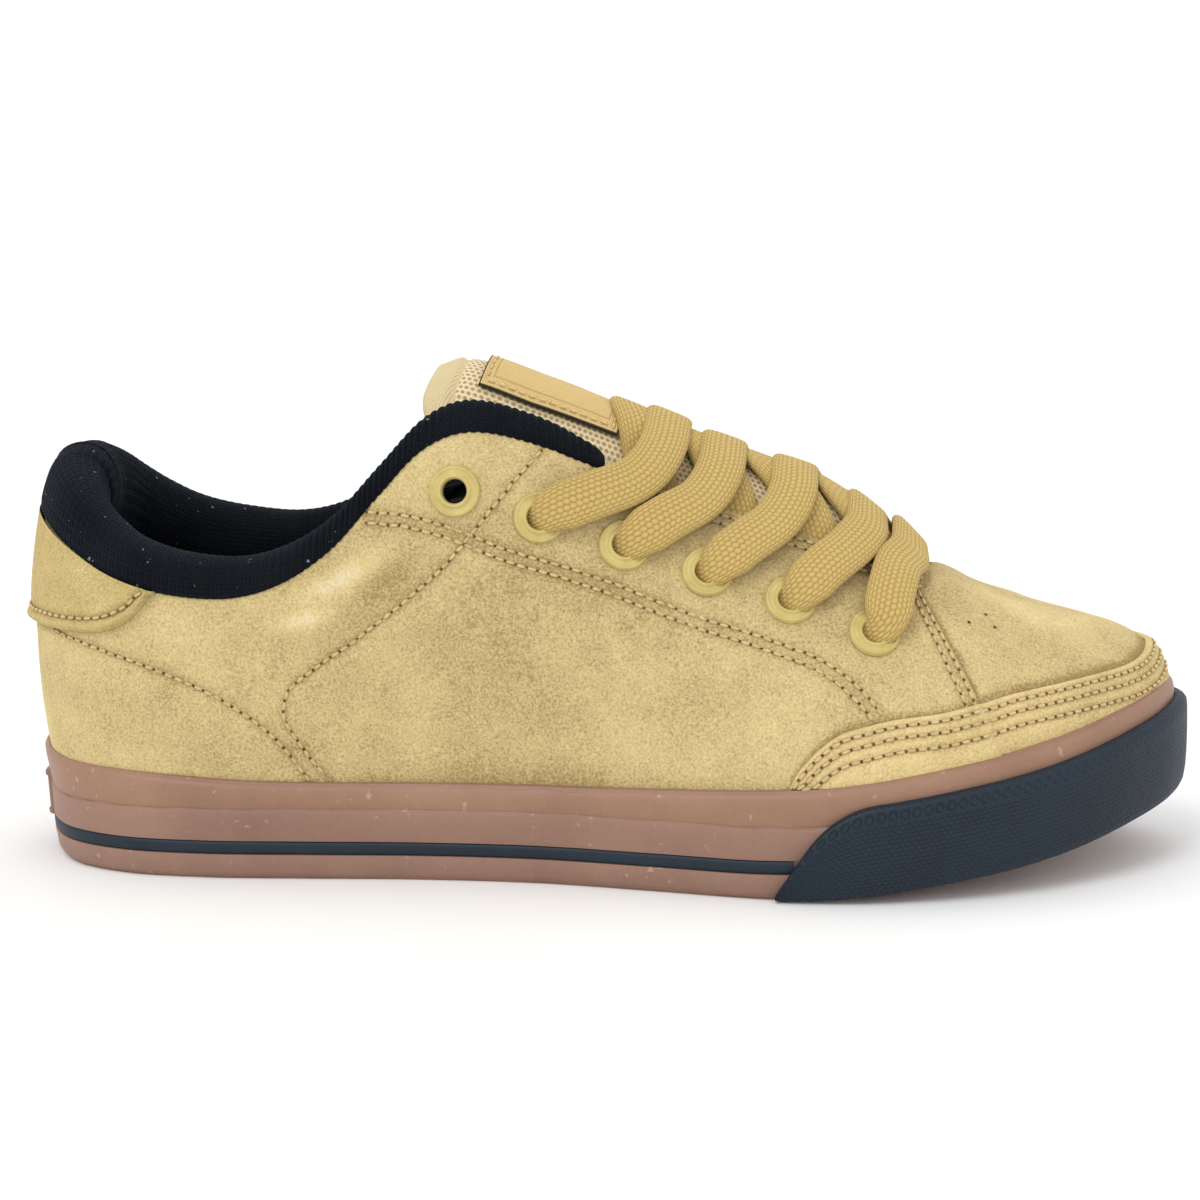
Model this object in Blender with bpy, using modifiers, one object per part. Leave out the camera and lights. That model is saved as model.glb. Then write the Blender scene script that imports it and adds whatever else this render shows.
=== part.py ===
"""A low skateboarding shoe for the right foot, size 43 or so, standing empty on its sole.

The toe points along +X, the outer side of the foot is at -Y, and the shoe stands on z = 0. Heights, widths
and places are shares of the named sizes: x shares run from the back of the heel to the toe of the rubber
cup, y shares are of half the ball's width, and a station t runs along one side's edge of the sole, from
0 at the back of the heel to 1 at the tip of the toe.
"""

from math import cos, pi, radians, sin

import bmesh
import bpy
import numpy as np
from mathutils import Matrix, Vector

# The shoe as a whole
SOLE_LENGTH = 0.290
BALL_WIDTH = 0.108
INSTEP_HEIGHT = 0.109  # top edge of the suede beside the tongue
TOE_SPRING = 0.016
GAP = 0.0003  # between two pieces that touch on the real shoe

# Rubber cup
FOXING_HEIGHT = 0.0242
FOXING_WALL = 0.003
FLOOR_HEEL = 0.013  # thickness under the heel
FLOOR_BALL = 0.0095  # thickness under the ball and the toes
LEDGE_HEIGHT = 0.0173
LEDGE_DROP = 0.0006
STRIPE_HEIGHT = 0.0080
STRIPE_WIDTH = 0.0033
STRIPE_DEPTH = 0.0011
TREAD_DEPTH = 0.0018
TREAD_GROOVE = 0.0028
TREAD_PITCH = 0.0125
TREAD_BORDER = 0.009
BUMPER_THICKNESS = 0.0026
BUMPER_REVEAL = 0.0046  # gum rubber left showing over the bumper
BADGE_WIDTH = 0.022
BADGE_HEIGHT = 0.012
BADGE_THICKNESS = 0.0013
INSOLE_THICKNESS = 0.004

# Upper
UPPER_WALL = 0.0022  # suede and its lining
QUARTER_RAISE = 0.0012  # the quarters lie over the vamp
OVERLAY = 0.0012  # suede of the mudguard and of the heel tab
COLLAR_PAD = 0.015  # how far the padded collar stands over the suede at the heel
TONGUE_THICKNESS = 0.0095
LABEL_LENGTH = 0.036
LABEL_WIDTH = 0.022
LABEL_THICKNESS = 0.0008
LABEL_START = 0.0125  # from the top of the tongue
EYELETS = 6  # on each side
EYELET_FIRST = 0.735  # x share of the row nearest the toe
EYELET_PITCH = 0.0199
EYELET_INSET = 0.0175  # from the edge of the suede
EYELET_TOP_INSET = 0.0135  # the top one, by the collar
EYELET_SPREAD = 0.0048  # how much further down the first row is than the middle ones
EYELET_RADIUS = 0.0062
EYELET_BORE = 0.003
EYELET_TUBE = 0.0007
EYELET_FLANGE = 0.0012
EYELET_SIDES = 9
LACE_WIDTH = 0.012
LACE_THICKNESS = 0.0026

HALF = BALL_WIDTH / 2
NEAR, FAR = -1, 1
STATIONS = 30
SEAM = (0.786, 0.790)  # the stations of the step from the quarter down to the vamp
ROWS_UP = 9

# Edge of the sole seen from above: x share, y share
OUTLINE = (
    (0.000, 0.00),
    (0.012, -0.29),
    (0.045, -0.55),
    (0.100, -0.71),
    (0.170, -0.765),
    (0.260, -0.755),
    (0.360, -0.735),
    (0.460, -0.76),
    (0.560, -0.86),
    (0.650, -0.955),
    (0.720, -0.97),
    (0.800, -0.885),
    (0.880, -0.68),
    (0.945, -0.39),
    (0.985, -0.09),
    (1.000, 0.18),
    (0.990, 0.43),
    (0.955, 0.67),
    (0.900, 0.84),
    (0.820, 0.945),
    (0.740, 0.97),
    (0.660, 0.92),
    (0.560, 0.79),
    (0.460, 0.69),
    (0.360, 0.665),
    (0.260, 0.70),
    (0.170, 0.74),
    (0.100, 0.70),
    (0.045, 0.54),
    (0.012, 0.28),
)
TOE_TIP = 15  # the row of the outline at the tip of the toe

# Lift of the bottom: x share, share of the toe spring
SPRING = (
    (0.00, 0.03),
    (0.04, 0.0),
    (0.62, 0.0),
    (0.72, 0.07),
    (0.80, 0.25),
    (0.89, 0.51),
    (0.96, 0.83),
    (1.00, 1.02),
)

# Top of the rubber wall over the bottom: t, share of the foxing's height
FOXING_TOP = (
    (0.00, 1.15),
    (0.07, 1.12),
    (0.16, 1.07),
    (0.28, 0.99),
    (0.48, 1.00),
    (0.66, 1.09),
    (0.80, 1.13),
    (1.00, 1.17),
)

# Lean of the wall, out from the outline in shares of its thickness: height share, heel, side, toe
WALL_LEAN = (
    (0.00, -1.60, -0.50, -0.60),
    (0.08, -1.00, -0.08, -0.25),
    (0.35, -0.60, 0.0, -0.10),
    (0.72, -0.30, 0.0, -0.10),
    (0.96, 0.42, -0.28, -0.45),
    (1.00, 0.25, -0.50, -0.70),
)

# Top edge of the suede: t, x share, near y share, far y share, share of the instep's height.
# It runs up round the collar, along the eyestay, round the throat and down the ridge of the toe.
EDGE = (
    (0.000, 0.013, 0.0, 0.0, 0.825),
    (0.050, 0.022, -0.24, 0.24, 0.800),
    (0.100, 0.052, -0.46, 0.45, 0.745),
    (0.140, 0.090, -0.58, 0.56, 0.688),
    (0.183, 0.132, -0.645, 0.61, 0.651),
    (0.231, 0.187, -0.68, 0.64, 0.636),
    (0.279, 0.242, -0.69, 0.65, 0.668),
    (0.321, 0.290, -0.685, 0.64, 0.752),
    (0.353, 0.327, -0.665, 0.62, 0.860),
    (0.384, 0.363, -0.633, 0.59, 0.960),
    (0.420, 0.404, -0.593, 0.565, 1.000),
    (0.465, 0.456, -0.537, 0.52, 0.968),
    (0.507, 0.504, -0.472, 0.48, 0.913),
    (0.553, 0.556, -0.405, 0.43, 0.860),
    (0.604, 0.614, -0.365, 0.40, 0.807),
    (0.660, 0.673, -0.34, 0.385, 0.757),
    (0.725, 0.732, -0.315, 0.37, 0.695),
    (0.775, 0.768, -0.25, 0.32, 0.662),
    (0.800, 0.789, -0.11, 0.20, 0.664),
    (0.820, 0.797, 0.056, 0.056, 0.664),
    (0.850, 0.818, 0.078, 0.078, 0.637),
    (0.890, 0.843, 0.104, 0.104, 0.607),
    (0.930, 0.866, 0.128, 0.128, 0.584),
    (0.965, 0.886, 0.148, 0.148, 0.569),
    (1.000, 0.903, 0.164, 0.164, 0.560),
)
RIDGE_START = 0.820

# How much higher the collar is on the far side: t, share of the instep's height
FAR_LIFT = (
    (0.00, 0.0),
    (0.05, 0.020),
    (0.11, 0.040),
    (0.20, 0.043),
    (0.30, 0.026),
    (0.36, 0.008),
    (0.42, 0.0),
)

# Bend of the wall: t, then at the top the angle forward, the dip below level and the pull, then at the
# bottom the outward flare and the pull; angles in degrees, pulls in shares of the rib's length
BEND = (
    (0.00, -90, 78, 0.34, 11, 0.40),
    (0.05, -60, 78, 0.34, 11, 0.39),
    (0.10, -35, 80, 0.33, 8, 0.36),
    (0.16, -12, 82, 0.30, 4, 0.33),
    (0.23, 0, 84, 0.28, 3, 0.33),
    (0.32, 0, 82, 0.28, 2, 0.33),
    (0.38, 0, 76, 0.30, 1, 0.33),
    (0.42, 3, 68, 0.30, 0, 0.35),
    (0.50, 8, 58, 0.30, 0, 0.38),
    (0.60, 12, 49, 0.30, 2, 0.40),
    (0.70, 12, 42, 0.30, 3, 0.40),
    (0.775, 14, 28, 0.32, 3, 0.40),
    (0.82, 10, 4, 0.38, 3, 0.42),
    (0.85, 18, 7, 0.44, 5, 0.44),
    (0.90, 38, 10, 0.50, 7, 0.50),
    (0.94, 58, 10, 0.52, 9, 0.54),
    (0.97, 74, 10, 0.54, 10, 0.55),
    (1.00, 90, 10, 0.55, 10, 0.55),
)

# Padded collar: t, its height over the suede, its thickness and its depth inside, shares of the pad
COLLAR = (
    (0.000, 1.00, 1.12, 1.9),
    (0.080, 0.95, 0.95, 1.8),
    (0.160, 0.75, 0.80, 1.6),
    (0.231, 0.64, 0.68, 1.5),
    (0.300, 0.54, 0.58, 1.3),
    (0.360, 0.50, 0.50, 1.0),
    (0.420, 0.53, 0.48, 0.8),
    (0.480, 0.50, 0.44, 0.6),
    (0.515, 0.38, 0.38, 0.5),
)
COLLAR_END = 0.515

# Section of the collar: inward share of the thickness, upward share of the height
COLLAR_SECTION = (
    (0.00, 0.00),
    (-0.02, 0.45),
    (0.10, 0.80),
    (0.36, 1.00),
    (0.75, 0.98),
    (1.00, 0.62),
    (1.02, 0.00),
)

# Tongue: share of its length, x share, height share of the instep, half width share, drop of its side
# edge, sweep of the edge to the heel, thickness share
TONGUE = (
    (0.00, 0.362, 1.128, 0.36, 0.15, 0.030, 0.50),
    (0.06, 0.385, 1.145, 0.40, 0.18, 0.028, 0.95),
    (0.20, 0.455, 1.088, 0.41, 0.19, 0.022, 1.00),
    (0.34, 0.512, 1.028, 0.42, 0.19, 0.014, 0.90),
    (0.50, 0.580, 0.955, 0.43, 0.19, 0.010, 0.80),
    (0.64, 0.640, 0.899, 0.43, 0.19, 0.008, 0.70),
    (0.78, 0.700, 0.834, 0.43, 0.20, 0.006, 0.60),
    (0.87, 0.748, 0.733, 0.43, 0.18, 0.004, 0.50),
    (0.92, 0.780, 0.646, 0.43, 0.15, 0.003, 0.45),
    (1.00, 0.835, 0.560, 0.40, 0.120, 0.0, 0.40),
)
TONGUE_MIDDLE = 0.02  # y share of its ridge
TONGUE_ROWS = 14
TONGUE_COLUMNS = 10

# Top edge of the mudguard: t, near height, far height, shares of the instep's height
MUDGUARD = (
    (0.650, 0.300, 0.300),
    (0.668, 0.345, 0.345),
    (0.700, 0.375, 0.375),
    (0.760, 0.395, 0.395),
    (0.820, 0.425, 0.430),
    (0.880, 0.445, 0.460),
    (0.940, 0.460, 0.490),
    (1.000, 0.490, 0.490),
)

# Lower edge of the heel tab: t, share of the instep's height
HEEL_TAB = (
    (0.000, 0.555),
    (0.060, 0.550),
    (0.110, 0.545),
    (0.150, 0.560),
    (0.172, 0.600),
    (0.186, 0.632),
)

# Top of the bumper at its two ends: t, share of its full height there
BUMPER_RISE = (
    (0.628, 0.06),
    (0.640, 0.35),
    (0.655, 0.68),
    (0.675, 0.92),
    (0.700, 1.00),
    (1.000, 1.00),
)

# Crossings of the lace, from the second row of eyelets up: x share where the near and the far strap
# pass the tongue's ridge, and how far down its other side they show, share of the tongue's half width
LACE_ROWS = (
    (2, 0.732, 0.703, 0.42),
    (3, 0.668, 0.638, 0.52),
    (4, 0.605, 0.576, 0.60),
    (5, 0.553, 0.520, 0.60),
)
BAR_X = 0.765  # x share of the bar over the first row
BAR_LIFT = 0.0048  # how far the bar hangs over the tongue, beside the throat's edge


def table(rows):
    """The rows' columns as smooth functions of the first one, which never overshoot a row."""
    rows = np.array(rows, float)
    keys, values = rows[:, 0], rows[:, 1:]
    steps = np.diff(keys)[:, None]
    slopes = np.diff(values, axis=0) / steps
    before, after = slopes[:-1], slopes[1:]
    mean = (before * steps[1:] + after * steps[:-1]) / (steps[1:] + steps[:-1])
    limit = 3 * np.minimum(abs(before), abs(after)) * (before * after > 0)
    tangents = np.vstack([slopes[:1], np.clip(mean, -limit, limit), slopes[-1:]])

    def at(key):
        key = min(max(key, keys[0]), keys[-1])
        i = min(max(int(np.searchsorted(keys, key)) - 1, 0), len(keys) - 2)
        step = keys[i + 1] - keys[i]
        u = (key - keys[i]) / step
        ends = (1 + 2 * u) * (1 - u) ** 2 * values[i] + u * u * (3 - 2 * u) * values[i + 1]
        return ends + step * (u * (1 - u) ** 2 * tangents[i] - u * u * (1 - u) * tangents[i + 1])

    return at


spring_at = table(SPRING)
foxing_top_at = table(FOXING_TOP)
wall_lean_at = table(WALL_LEAN)
edge_at = table(EDGE)
far_lift_at = table(FAR_LIFT)
bend_at = table(BEND)
collar_at = table(COLLAR)
tongue_at = table(TONGUE)
mudguard_at = table(MUDGUARD)
heel_tab_at = table(HEEL_TAB)
bumper_rise_at = table(BUMPER_RISE)


def along(share):
    return (share - 0.5) * SOLE_LENGTH


def share_of(x):
    return x / SOLE_LENGTH + 0.5


def unit(vector):
    return vector / np.linalg.norm(vector)


def smooth_loop(points, fine=20):
    """A dense closed curve through the points, with each tangent set by its two neighbours."""
    before, after = np.roll(points, 1, axis=0), np.roll(points, -1, axis=0)
    back = np.linalg.norm(points - before, axis=1)[:, None]
    ahead = np.linalg.norm(after - points, axis=1)[:, None]
    tangents = ((points - before) / back * ahead + (after - points) / ahead * back) / (back + ahead)
    next_tangents = np.roll(tangents, -1, axis=0)
    curve = []
    for i in range(len(points)):
        for u in np.arange(fine) / fine:
            ends = (1 + 2 * u) * (1 - u) ** 2 * points[i] + u * u * (3 - 2 * u) * after[i]
            pull = u * (1 - u) ** 2 * tangents[i] - u * u * (1 - u) * next_tangents[i]
            curve.append(ends + ahead[i] * pull)
    return np.array(curve), fine


def side_curves():
    """For each side, the outline from the heel to the tip of the toe, and its length share."""
    points = np.array([(along(x), y * HALF) for x, y in OUTLINE])
    curve, fine = smooth_loop(points)
    tip = TOE_TIP * fine
    sides = {NEAR: curve[: tip + 1], FAR: np.vstack([curve[tip:], curve[:1]])[::-1]}
    return {
        side: (line, np.append(0, np.cumsum(np.linalg.norm(np.diff(line, axis=0), axis=1))))
        for side, line in sides.items()
    }


SIDES = side_curves()


def outline(side, t):
    """A point of the sole's outline, and the direction out of it, seen from above."""
    line, lengths = SIDES[side]
    here = t * lengths[-1]
    reach = 0.002
    if t in (0, 1):
        normal = np.array((1.0 if t else -1.0, 0.0))
    else:
        ends = [
            [np.interp(here + way, lengths, line[:, k]) for k in (0, 1)] for way in (-reach, reach)
        ]
        tangent = unit(np.subtract(ends[1], ends[0]))
        normal = np.array((-tangent[1], tangent[0])) * side
    point = np.array([np.interp(here, lengths, line[:, k]) for k in (0, 1)])
    return point, normal


def station_x(side, t):
    return outline(side, t)[0][0]


def bottom_z(x):
    return TOE_SPRING * spring_at(share_of(x))[0]


def floor_z(x):
    """Top of the cup's floor, thinner from the heel to the ball."""
    share = min(max((share_of(x) - 0.3) / 0.3, 0), 1)
    return bottom_z(x) + FLOOR_HEEL + (FLOOR_BALL - FLOOR_HEEL) * share


def foxing_top(side, t):
    return bottom_z(station_x(side, t)) + FOXING_HEIGHT * foxing_top_at(t)[0]


def wall_out(t, height_share):
    """How far the rubber wall stands out of the outline, blended from heel to side and side to toe."""
    heel, middle, toe = wall_lean_at(height_share)
    heel_part = max(0.0, 1 - t / 0.16) ** 2
    toe_part = max(0.0, (t - 0.78) / 0.22) ** 1.5
    return FOXING_WALL * (middle + (heel - middle) * heel_part + (toe - middle) * toe_part)


def wall_point(side, t, z, extra=0.0):
    """A point on the outer face of the rubber wall at a height over the floor it stands on."""
    point, normal = outline(side, t)
    bottom = bottom_z(point[0])
    share = (z - bottom) / (foxing_top(side, t) - bottom)
    flat = point + normal * (wall_out(t, share) + extra)
    return np.array((flat[0], flat[1], z))


def rib(side, t):
    """The four control points of the upper's wall at a station, from its foot to its top edge."""
    point, normal = outline(side, t)
    inset = FOXING_WALL * 0.85 + GAP + QUARTER_RAISE + 0.0003
    foot = np.array((*(point - normal * inset), floor_z(point[0]) + GAP))
    x, near_y, far_y, z = edge_at(t)
    side_y = near_y if side == NEAR else far_y
    z += far_lift_at(t)[0] if side == FAR else 0
    y = side_y if t < RIDGE_START else (near_y + far_y) / 2
    top = np.array((along(x), y * HALF, z * INSTEP_HEIGHT))
    forward, dip, top_pull, flare, foot_pull = bend_at(t)
    forward, dip, flare = radians(forward), radians(dip), radians(flare)
    size = np.linalg.norm(top - foot)
    level = np.array((sin(forward), side * cos(forward), 0)) * cos(dip)
    down = level - np.array((0, 0, sin(dip)))
    rise = np.array((*(normal * sin(flare)), cos(flare)))
    return foot, foot + rise * size * foot_pull, top + down * size * top_pull, top


def bezier(controls, h):
    a, b, c, d = controls
    k = 1 - h
    return k**3 * a + 3 * k * k * h * b + 3 * k * h * h * c + h**3 * d


def surface(side, t, h):
    """The last's surface: h runs from 0 at the foot of the wall to 1 at its top edge."""
    return bezier(rib(side, t), h)


def surface_normal(side, t, h):
    step = 0.004
    low, high = max(t - step, 0), min(t + step, 1)
    if t < step or t > 1 - step:
        other = 2 * step if t < step else 1 - 2 * step
        under = min(h, 0.95)
        along_edge = surface(FAR, other, under) - surface(NEAR, other, under)
        along_edge = along_edge * (-1 if t < step else 1)
    else:
        along_edge = (surface(side, high, h) - surface(side, low, h)) * -side
    up = surface(side, t, min(h + 0.01, 1)) - surface(side, t, max(h - 0.01, 0))
    return unit(np.cross(along_edge, up))


def raise_at(t):
    return QUARTER_RAISE if t <= SEAM[0] else 0.0


def skin(side, t, h, out=0.0):
    """A point over the outer face of the upper."""
    return surface(side, t, h) + surface_normal(side, t, h) * (raise_at(t) + out)


def height_on(side, t, z):
    """The h at which a rib passes a height."""
    controls = rib(side, t)
    low, high = 0.0, 1.0
    for _ in range(24):
        middle = (low + high) / 2
        if bezier(controls, middle)[2] < z:
            low = middle
        else:
            high = middle
    return low


def stations():
    """Closer together round the heel and the toe, with those of the seam, ridge and collar's end."""
    even = np.arange(STATIONS + 1) / STATIONS
    spaced = even - 0.25 * np.sin(2 * pi * even) / (2 * pi)
    kept = [*SEAM, RIDGE_START, COLLAR_END]
    return sorted([*kept, *[t for t in spaced if min(abs(t - other) for other in kept) > 0.008]])


T = stations()
LOOP = [(NEAR, t) for t in T] + [(FAR, t) for t in T[-2:0:-1]]


def material(name, color, roughness, metallic=0.0):
    made = bpy.data.materials.new(name)
    made.use_nodes = True
    shader = made.node_tree.nodes["Principled BSDF"]
    shader.inputs["Base Color"].default_value = (*color, 1)
    shader.inputs["Roughness"].default_value = roughness
    shader.inputs["Metallic"].default_value = metallic
    return made


def finish(name, mesh, kept_in, look=None):
    """One object from a bmesh, smooth but for its sharp edges."""
    data = bpy.data.meshes.new(name)
    bmesh.ops.recalc_face_normals(mesh, faces=mesh.faces)
    mesh.to_mesh(data)
    mesh.free()
    data.shade_smooth()
    data.set_sharp_from_angle(angle=radians(40))
    made = bpy.data.objects.new(name, data)
    kept_in.objects.link(made)
    if look:
        data.materials.append(look)
    else:
        made.hide_render = True
        made.display_type = "WIRE"
    return made


def loft(sections, closed, capped=True):
    """A bmesh through sections of equal counts of points, each section a closed ring."""
    mesh = bmesh.new()
    rings = [[mesh.verts.new(point) for point in section] for section in sections]
    pairs = list(zip(rings, rings[1:] + rings[:1])) if closed else list(zip(rings, rings[1:]))
    for first, second in pairs:
        for i in range(len(first)):
            j = (i + 1) % len(first)
            mesh.faces.new((first[i], first[j], second[j], second[i]))
    if not closed and capped:
        mesh.faces.new(rings[0])
        mesh.faces.new(rings[-1])
    return mesh


def patch(grid_out, grid_in):
    """A thin solid between two grids of points, one over the other."""
    return loft([[*out, *inner[::-1]] for out, inner in zip(grid_out, grid_in)], closed=False)


def weld(mesh, within=0.00002):
    bmesh.ops.remove_doubles(mesh, verts=mesh.verts, dist=within)
    bmesh.ops.dissolve_degenerate(mesh, edges=mesh.edges, dist=within)


def add_boolean(target, cutter, operation="DIFFERENCE"):
    cut = target.modifiers.new(cutter.name, "BOOLEAN")
    cut.operation = operation
    cut.solver = "EXACT"
    cut.object = cutter


def frame_on(point, normal, ahead):
    """A matrix at the point with its Z along the normal and its X near the direction ahead."""
    z = Vector(normal).normalized()
    y = z.cross(Vector(ahead)).normalized()
    x = y.cross(z)
    matrix = Matrix((x, y, z)).transposed().to_4x4()
    matrix.translation = Vector(point)
    return matrix


def cup_section(side, t):
    """Heights and outward places of the cup's wall, from the bottom edge round to its floor inside."""
    point, normal = outline(side, t)
    bottom, top = bottom_z(point[0]), foxing_top(side, t)
    low = bottom + STRIPE_HEIGHT - STRIPE_WIDTH / 2 - GAP
    high = low + STRIPE_WIDTH + 2 * GAP
    ledge = bottom + LEDGE_HEIGHT
    outer = [
        wall_point(side, t, bottom),
        wall_point(side, t, bottom + 0.08 * FOXING_HEIGHT),
        wall_point(side, t, low),
        wall_point(side, t, low, -STRIPE_DEPTH - GAP),
        wall_point(side, t, high, -STRIPE_DEPTH - GAP),
        wall_point(side, t, high),
        wall_point(side, t, ledge),
        wall_point(side, t, ledge + LEDGE_DROP, -LEDGE_DROP / 2),
        wall_point(side, t, top - 0.04 * FOXING_HEIGHT),
        wall_point(side, t, top),
    ]
    inner = []
    for share in (1.0, 0.66, 0.33):
        z = floor_z(point[0]) + (top - floor_z(point[0])) * share
        beside = skin(side, t, height_on(side, t, z), 1.5 * GAP)
        inner.append(np.array((*beside[:2], z)))
    clear = surface(side, t, 0)[:2] + normal * (QUARTER_RAISE + GAP)
    inner.append(np.array((*clear, floor_z(point[0]))))
    return outer + inner


def make_cup(parts, cutters):
    """The gum rubber cup: side wall in two bands, stripe groove, floor, and tread cut in the bottom."""
    sections = [cup_section(side, t) for side, t in LOOP]
    mesh = bmesh.new()
    rings = [[mesh.verts.new(section[row]) for section in sections] for row in range(len(sections[0]))]
    count = len(LOOP)
    for lower, upper in zip(rings, rings[1:]):
        for i in range(count):
            j = (i + 1) % count
            mesh.faces.new((lower[i], lower[j], upper[j], upper[i]))
    for ring in (rings[0], rings[-1]):
        for i in range(len(T) - 1):
            corners = [ring[i], ring[i + 1], ring[-i - 1], ring[-i % count]]
            mesh.faces.new(list(dict.fromkeys(corners)))
    cup = finish("cupsole", mesh, parts, material("gum rubber", (0.36, 0.20, 0.14), 0.55))
    cutter = finish("tread grooves", tread(), cutters)
    add_boolean(cup, cutter)
    return cup


def inner_width(side, x, border):
    line, _ = SIDES[side]
    return abs(np.interp(x, line[:, 0], line[:, 1])) - border


def bar(mesh, x, near_y, far_y, width):
    """One groove straight across the sole, sunk to the tread's depth and tilted with the toe spring."""
    rise = bottom_z(x + width) - bottom_z(x - width)
    tilt = Matrix.Rotation(-np.arctan2(rise, 2 * width), 4, "Y")
    middle = Vector((x, (near_y + far_y) / 2, bottom_z(x)))
    size = Matrix.Diagonal((width, far_y - near_y, 2 * TREAD_DEPTH, 1))
    bmesh.ops.create_cube(mesh, size=1, matrix=Matrix.Translation(middle) @ tilt @ size)


def tread():
    """Straight grooves across heel and forefoot, parted by a middle rib, and a hollow under the arch."""
    mesh = bmesh.new()
    rib_half = 0.0035
    for first, last in ((0.07, 0.30), (0.56, 0.90)):
        count = int((last - first) * SOLE_LENGTH / TREAD_PITCH) + 1
        for i in range(count):
            x = along(first) + i * TREAD_PITCH
            bar(mesh, x, -inner_width(NEAR, x, TREAD_BORDER), -rib_half, TREAD_GROOVE)
            bar(mesh, x, rib_half, inner_width(FAR, x, TREAD_BORDER), TREAD_GROOVE)
    arch = [0.34, 0.38, 0.43, 0.48, 0.52]
    ring = [(along(s), -inner_width(NEAR, along(s), 1.6 * TREAD_BORDER)) for s in arch]
    ring += [(along(s), inner_width(FAR, along(s), 1.2 * TREAD_BORDER)) for s in arch[::-1]]
    low = [mesh.verts.new((x, y, -TREAD_DEPTH)) for x, y in ring]
    high = [mesh.verts.new((x, y, 0.7 * TREAD_DEPTH)) for x, y in ring]
    mesh.faces.new(low)
    mesh.faces.new(high)
    for i in range(len(ring)):
        j = (i + 1) % len(ring)
        mesh.faces.new((low[i], low[j], high[j], high[i]))
    return mesh


def make_stripe(parts):
    """The dark stripe in its groove, from one end of the bumper round the heel to the other."""
    end = BUMPER_RISE[1][0]
    places = [(FAR, t) for t in T[::-1] if 0 < t < end] + [(NEAR, t) for t in T if t < end]
    places = [(FAR, end), *places, (NEAR, end)]
    sections = []
    for side, t in places:
        low = bottom_z(station_x(side, t)) + STRIPE_HEIGHT - STRIPE_WIDTH / 2
        high = low + STRIPE_WIDTH
        sections.append(
            [
                wall_point(side, t, low, -STRIPE_DEPTH),
                wall_point(side, t, low),
                wall_point(side, t, high),
                wall_point(side, t, high, -STRIPE_DEPTH),
            ]
        )
    finish("stripe", loft(sections, closed=False), parts, material("dark rubber", (0.02, 0.04, 0.06), 0.5))


def make_bumper(parts):
    """The dark toe guard: it wraps the front of the cup and stands proud of it."""
    start = BUMPER_RISE[0][0]
    ends = [row[0] for row in BUMPER_RISE[:-2]]
    ts = sorted([*ends, *[t for t in T if t > ends[-1] + 0.01]])
    places = [(NEAR, t) for t in ts] + [(FAR, t) for t in ts[-2::-1]]
    sections = []
    for side, t in places:
        bottom = bottom_z(station_x(side, t)) + GAP
        full = foxing_top(side, t) - BUMPER_REVEAL - bottom
        top = bottom + full * bumper_rise_at(t)[0]
        proud = BUMPER_THICKNESS + GAP
        toe = 0.5 + 0.5 * (t - start) / (1 - start)
        rows = ((0, 0), (0.08 * FOXING_HEIGHT, 0.3), (STRIPE_HEIGHT, 0.6), (LEDGE_HEIGHT, 0.86))
        heights = [bottom + min(row, (top - bottom) * most) for row, most in rows]
        inside = [wall_point(side, t, z, 1.5 * GAP) for z in [*heights, top]]
        outside = [
            wall_point(side, t, bottom, proud * 0.8),
            wall_point(side, t, bottom + (top - bottom) * 0.10, proud * 0.95),
            wall_point(side, t, bottom + (top - bottom) * 0.5, proud * (1 + 0.15 * toe)),
            wall_point(side, t, bottom + (top - bottom) * 0.93, proud * 0.95),
            wall_point(side, t, top, proud * 0.6),
        ]
        sections.append(outside + inside[::-1])
    look = material("bumper rubber", (0.02, 0.035, 0.05), 0.6)
    finish("toe_bumper", loft(sections, closed=False), parts, look)


def make_badge(parts):
    """A small plate on the back of the cup."""
    reach = BADGE_WIDTH / 2 / SIDES[NEAR][1][-1]
    places = [(FAR, reach), (FAR, reach / 2), (NEAR, 0), (NEAR, reach / 2), (NEAR, reach)]
    middle = LEDGE_HEIGHT - 0.3 * BADGE_HEIGHT
    heights = [middle - BADGE_HEIGHT / 2, middle, middle + BADGE_HEIGHT / 2]
    lift = TOE_SPRING * SPRING[0][1]
    out = [[wall_point(s, t, z + lift, GAP + BADGE_THICKNESS) for z in heights] for s, t in places]
    inner = [[wall_point(s, t, z + lift, GAP) for z in heights] for s, t in places]
    finish("heel_badge", patch(out, inner), parts, material("badge rubber", (0.33, 0.19, 0.14), 0.55))


def make_insole(parts):
    """The foam sock liner on the cup's floor, inside the upper."""
    clear = UPPER_WALL + 3 * GAP
    mesh = bmesh.new()
    rings = []
    for lift, extra in ((2 * GAP, 0.0005), (INSOLE_THICKNESS * 0.8, 0.0), (INSOLE_THICKNESS, 0.001)):
        ring = []
        for side, t in LOOP:
            _, normal = outline(side, t)
            foot = surface(side, t, 0)
            flat = foot[:2] - normal * (clear + extra)
            ring.append(mesh.verts.new((*flat, foot[2] + lift)))
        rings.append(ring)
    count = len(LOOP)
    for lower, upper in zip(rings, rings[1:]):
        for i in range(count):
            j = (i + 1) % count
            mesh.faces.new((lower[i], lower[j], upper[j], upper[i]))
    for ring in (rings[0], rings[-1]):
        for i in range(len(T) - 1):
            corners = [ring[i], ring[i + 1], ring[-i - 1], ring[-i % count]]
            mesh.faces.new(list(dict.fromkeys(corners)))
    finish("insole", mesh, parts, material("sock liner", (0.03, 0.03, 0.035), 0.9))


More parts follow.
